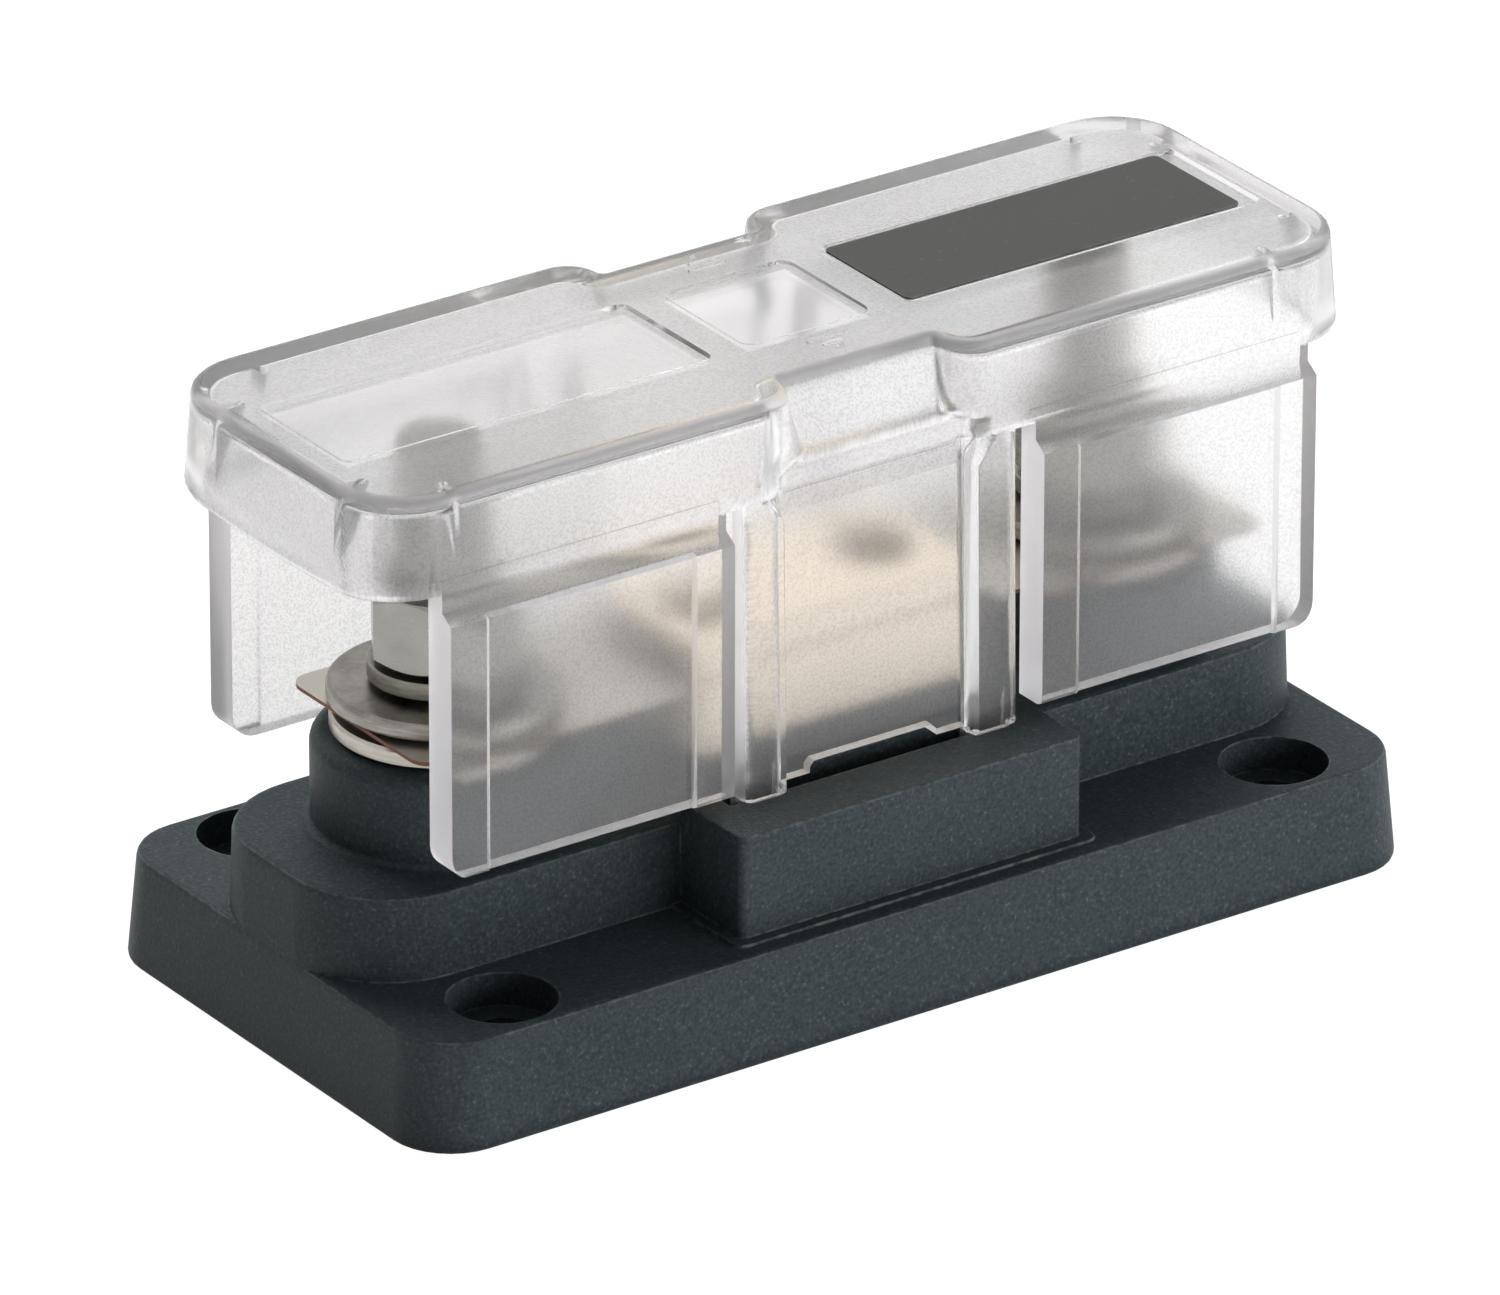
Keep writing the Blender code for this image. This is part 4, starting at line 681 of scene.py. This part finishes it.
POLYCARBONATE_COLOUR = (0.955, 0.947, 0.953)
FLECK_COLOUR = (0.630, 0.630, 0.635)
# Painted shade: a darker lavender grey laid on the matt edges and rounded rims, for the dark
# lines and soft bands that light shows along them.
EDGE_SHADE_COLOUR = (0.870, 0.840, 0.865)
COVER_SHADE = (1.0, 1.0, 1.0)
COVER_TRANSMISSION = 0.978
COVER_IOR = 1.52
POLISHED_ROUGHNESS = 0.12
FROST_ROUGHNESS = 0.31
MATT_ROUGHNESS = 0.40
POLISHED_BUMP = 0.04
FROST_BUMP = 1.0
FROST_HEIGHT = 0.018 * MM


def clear_polycarbonate():
    """Clear plastic, polished outside, its inner faces frosted but for two windows."""
    material = new_material("clear_polycarbonate")
    tree = material.node_tree
    shader = tree.nodes["Principled BSDF"]
    shader.inputs["Transmission Weight"].default_value = COVER_TRANSMISSION
    shader.inputs["IOR"].default_value = COVER_IOR
    frost = frost_mask(tree)
    matt_and_shade = add_node(tree, "ShaderNodeAttribute", "matt and shaded edges", attribute_name="matt_and_shade")
    grain = place_group(tree, GRAIN, Grain_Scale=3600.0, Grain_Detail=1.0, Blotch_Scale=120.0)
    fleck = add_node(tree, "ShaderNodeMapRange", "flecks", From_Min=0.42, From_Max=0.64)
    flecked = add_node(tree, "ShaderNodeMath", operation="MULTIPLY")
    tint = mix_colours(tree, "tint", A=POLYCARBONATE_COLOUR, B=FLECK_COLOUR)
    # Matt edges and rims are rougher and tinted darker: the roughness is their matt finish,
    # the tint is painted shade.
    shaded_edges = mix_colours(tree, "painted edge and rim shade", B=EDGE_SHADE_COLOUR)
    link(tree, grain.outputs["Height"], fleck.inputs["Value"])
    link(tree, fleck.outputs["Result"], flecked.inputs[0])
    link(tree, frost, flecked.inputs[1])
    link(tree, flecked.outputs["Value"], tint.inputs["Factor"])
    link(tree, matt_and_shade.outputs["Fac"], shaded_edges.inputs["Factor"])
    link(tree, tint.outputs["Result"], shaded_edges.inputs["A"])
    link(tree, shaded_edges.outputs["Result"], shader.inputs["Base Color"])
    rough = add_node(
        tree,
        "ShaderNodeMapRange",
        "roughness",
        To_Min=POLISHED_ROUGHNESS,
        To_Max=FROST_ROUGHNESS,
    )
    edged = add_node(tree, "ShaderNodeMath", operation="MULTIPLY_ADD", use_clamp=True)
    edged.inputs[1].default_value = MATT_ROUGHNESS
    link(tree, frost, rough.inputs["Value"])
    link(tree, matt_and_shade.outputs["Fac"], edged.inputs[0])
    link(tree, rough.outputs["Result"], edged.inputs[2])
    link(tree, edged.outputs["Value"], shader.inputs["Roughness"])
    strength = add_node(
        tree, "ShaderNodeMapRange", "grain depth", To_Min=POLISHED_BUMP, To_Max=FROST_BUMP
    )
    height = add_node(tree, "ShaderNodeBump", "grain", Distance=FROST_HEIGHT)
    link(tree, frost, strength.inputs["Value"])
    link(tree, strength.outputs["Result"], height.inputs["Strength"])
    link(tree, grain.outputs["Height"], height.inputs["Height"])
    link(tree, height.outputs["Normal"], shader.inputs["Normal"])
    path = add_node(tree, "ShaderNodeLightPath")
    passing = add_node(tree, "ShaderNodeMath", operation="MAXIMUM")
    clear = add_node(tree, "ShaderNodeBsdfTransparent", Color=(*COVER_SHADE, 1.0))
    mix = add_node(tree, "ShaderNodeMixShader")
    output = tree.nodes["Material Output"]
    link(tree, path.outputs["Is Shadow Ray"], passing.inputs[0])
    link(tree, path.outputs["Is Diffuse Ray"], passing.inputs[1])
    link(tree, passing.outputs["Value"], mix.inputs[0])
    link(tree, shader.outputs["BSDF"], mix.inputs[1])
    link(tree, clear.outputs["BSDF"], mix.inputs[2])
    link(tree, mix.outputs["Shader"], output.inputs["Surface"])
    return material


cover = from_cad("cover", "clear_cover")
mark_frost(cover.data)
polycarbonate = clear_polycarbonate()
finish_piece(cover, polycarbonate, "lid", "clear_polycarbonate", "cover")

MARK_WIDTH = 0.34 * MM
MARK_HEIGHT = 0.20 * MM
MARK_ROWS = ((11.1 * MM, 2.4 * MM), (12.6 * MM, 1.4 * MM), (13.9 * MM, 0.4 * MM))
COVER_TOP = 71.5 * MM
SEAM_HALF_LENGTH = 11.0 * MM
SEAM_LEVEL = 59.3 * MM
SEAM_ACROSS = 19.4 * MM
SEAM_HEIGHT = 0.07 * MM


def add_bar(shape, place, size):
    """Bar of a full size, sunk by half into the face that its middle lies on."""
    matrix = Matrix.Translation(place) @ Matrix.Diagonal((*size, 1.0))
    bmesh.ops.create_cube(shape, size=1.0, matrix=matrix)


def press_marks():
    """Arrowheads of three raised lines where fingers press, and a mould seam below them."""
    shape = bmesh.new()
    for sign in (-1.0, 1.0):
        for across, half in MARK_ROWS:
            line = (2.0 * half, MARK_WIDTH, 2.0 * MARK_HEIGHT)
            add_bar(shape, (0.0, sign * across, COVER_TOP), line)
        seam = (2.0 * SEAM_HALF_LENGTH, 2.0 * SEAM_HEIGHT, MARK_WIDTH)
        add_bar(shape, (0.0, sign * SEAM_ACROSS, SEAM_LEVEL), seam)
    mesh = bpy.data.meshes.new("press_marks")
    shape.to_mesh(mesh)
    shape.free()
    marks = bpy.data.objects.new("press_marks", mesh)
    scene.collection.objects.link(marks)
    return marks


finish_piece(press_marks(), polycarbonate, "lid", "clear_polycarbonate")

# Label: a thin strip of plain dark satin film, stuck down in the shallow recess of the cover's
# right lobe.

FILM_DEEP = (0.038, 0.040, 0.035)
FILM_PALE = (0.047, 0.049, 0.043)
FILM_WORN = (0.200, 0.200, 0.190)

dark_label = moulded_plastic(
    "dark_label", FILM_DEEP, FILM_PALE, FILM_WORN, roughness=0.45, bump=0.05
)
label_strip = from_cad("label", "label_strip")
finish_piece(label_strip, dark_label, "lid", "dark_label", "label")

# Studio: a pale table and surround that the camera sees as white, with a soft shadow left on
# the table. One broad lamp hangs behind the holder, a wide low one stands to its front right,
# and a faint glow stands for the light that comes back from the table.

CAMERA_AZIMUTH = math.radians(34.813)
CAMERA_ELEVATION = math.radians(25.486)
CAMERA_ROLL = math.radians(0.107)
CAMERA_DISTANCE = 1.8387
CAMERA_TARGET = Vector((-0.00858, -0.00943, 0.03664))
PHOTO_WIDTH = 1500.0
FOCAL_PIXELS = 17186.9
SENSOR_WIDTH = 36.0


def camera_matrix():
    """Camera's place and turn, from its azimuth, elevation, roll and distance."""
    back = Vector(
        (
            -math.sin(CAMERA_AZIMUTH) * math.cos(CAMERA_ELEVATION),
            -math.cos(CAMERA_AZIMUTH) * math.cos(CAMERA_ELEVATION),
            math.sin(CAMERA_ELEVATION),
        )
    )
    right = (-back).cross(Vector((0.0, 0.0, 1.0))).normalized()
    up = right.cross(-back)
    turned_right = right * math.cos(CAMERA_ROLL) + up * math.sin(CAMERA_ROLL)
    turned_up = -right * math.sin(CAMERA_ROLL) + up * math.cos(CAMERA_ROLL)
    matrix = Matrix((turned_right, turned_up, back)).transposed().to_4x4()
    matrix.translation = CAMERA_TARGET + back * CAMERA_DISTANCE
    return matrix


lens = bpy.data.cameras.new("camera")
lens.sensor_width = SENSOR_WIDTH
lens.lens = FOCAL_PIXELS / PHOTO_WIDTH * SENSOR_WIDTH
camera = bpy.data.objects.new("camera", lens)
camera.matrix_world = camera_matrix()
scene.collection.objects.link(camera)
scene.camera = camera

MIRRORED_WHITE = 0.7
ROOM_SEEN_THROUGH = 0.86
ROOM_LIGHT = 0.07
ROOM_COLOUR = (1.0, 1.0, 1.0)
FLOOR_SEEN_THROUGH = 0.30
FLOOR_GLOW = 0.75
FLOOR_STRENGTH = 1.3
FLOOR_COLOUR = (0.68, 0.68, 0.68)
FLOOR_ROUGHNESS = 0.9
FLOOR_HALF = 1.5
FLOOR_DROP = 0.05 * MM


def seen_white(tree, through):
    """1 where the camera looks straight at it, less through the cover or in a reflection."""
    path = add_node(tree, "ShaderNodeLightPath")
    most = path.outputs["Is Camera Ray"]
    shares = (("Is Transmission Ray", through), ("Is Glossy Ray", MIRRORED_WHITE))
    for ray, share in shares:
        part = add_node(tree, "ShaderNodeMath", operation="MULTIPLY")
        part.inputs[1].default_value = share
        larger = add_node(tree, "ShaderNodeMath", operation="MAXIMUM")
        link(tree, path.outputs[ray], part.inputs[0])
        link(tree, most, larger.inputs[0])
        link(tree, part.outputs["Value"], larger.inputs[1])
        most = larger.outputs["Value"]
    return most


def white_floor():
    """White table: it glows for the camera, and part of it is still lit, so a shadow shows."""
    material = new_material("floor_white")
    tree = material.node_tree
    shader = tree.nodes["Principled BSDF"]
    shader.inputs["Base Color"].default_value = (*FLOOR_COLOUR, 1.0)
    shader.inputs["Roughness"].default_value = FLOOR_ROUGHNESS
    output = tree.nodes["Material Output"]
    glow = add_node(tree, "ShaderNodeEmission", Strength=FLOOR_STRENGTH)
    kept = add_node(tree, "ShaderNodeMath", operation="MULTIPLY")
    kept.inputs[1].default_value = FLOOR_GLOW
    mix = add_node(tree, "ShaderNodeMixShader")
    link(tree, seen_white(tree, FLOOR_SEEN_THROUGH), kept.inputs[0])
    link(tree, kept.outputs["Value"], mix.inputs[0])
    link(tree, shader.outputs["BSDF"], mix.inputs[1])
    link(tree, glow.outputs["Emission"], mix.inputs[2])
    link(tree, mix.outputs["Shader"], output.inputs["Surface"])
    return material


floor_shape = bmesh.new()
bmesh.ops.create_grid(floor_shape, x_segments=1, y_segments=1, size=FLOOR_HALF)
floor_mesh = bpy.data.meshes.new("floor")
floor_shape.to_mesh(floor_mesh)
floor_shape.free()
floor = bpy.data.objects.new("floor", floor_mesh)
floor.location.z = -FLOOR_DROP
floor.data.materials.append(white_floor())
scene.collection.objects.link(floor)

world = bpy.data.worlds.new("studio")
world.use_nodes = True
scene.world = world
surround = world.node_tree
background = surround.nodes["Background"]
background.inputs["Color"].default_value = (*ROOM_COLOUR, 1.0)
power = add_node(
    surround, "ShaderNodeMapRange", "world strength", To_Min=ROOM_LIGHT, To_Max=1.0
)
link(surround, seen_white(surround, ROOM_SEEN_THROUGH), power.inputs["Value"])
link(surround, power.outputs["Result"], background.inputs["Strength"])


def add_lamp(name, place, aim, size, watts, colour, unseen):
    """Flat lamp turned towards its aim, and unseen by the kinds of ray that are named."""
    lamp = bpy.data.lights.new(name, "AREA")
    lamp.shape = "RECTANGLE"
    lamp.size, lamp.size_y = size
    lamp.energy = watts
    lamp.color = colour
    obj = bpy.data.objects.new(name, lamp)
    obj.location = place
    obj.rotation_mode = "QUATERNION"
    obj.rotation_quaternion = (Vector(place) - Vector(aim)).to_track_quat("Z", "Y")
    for ray in unseen:
        setattr(obj, "visible_" + ray, False)
    scene.collection.objects.link(obj)


add_lamp(
    "softbox_back",
    place=(0.20, 0.60, 0.50),
    aim=(0.0, 0.0, 0.03),
    size=(0.9, 0.5),
    watts=11.0,
    colour=(1.0, 0.985, 0.95),
    unseen=("glossy", "transmission"),
)
add_lamp(
    "softbox_right",
    place=(0.38, -0.56, 0.14),
    aim=(0.0, 0.0, 0.02),
    size=(0.8, 0.28),
    watts=3.4,
    colour=(0.98, 0.985, 1.0),
    unseen=("glossy",),
)
add_lamp(
    "table_bounce",
    place=(0.12, -0.2325, 0.001),
    aim=(0.12, -0.2325, 1.0),
    size=(0.6, 0.4),
    watts=0.48,
    colour=(0.97, 0.99, 1.0),
    unseen=("camera", "glossy", "transmission"),
)

scene.view_settings.view_transform = "Standard"
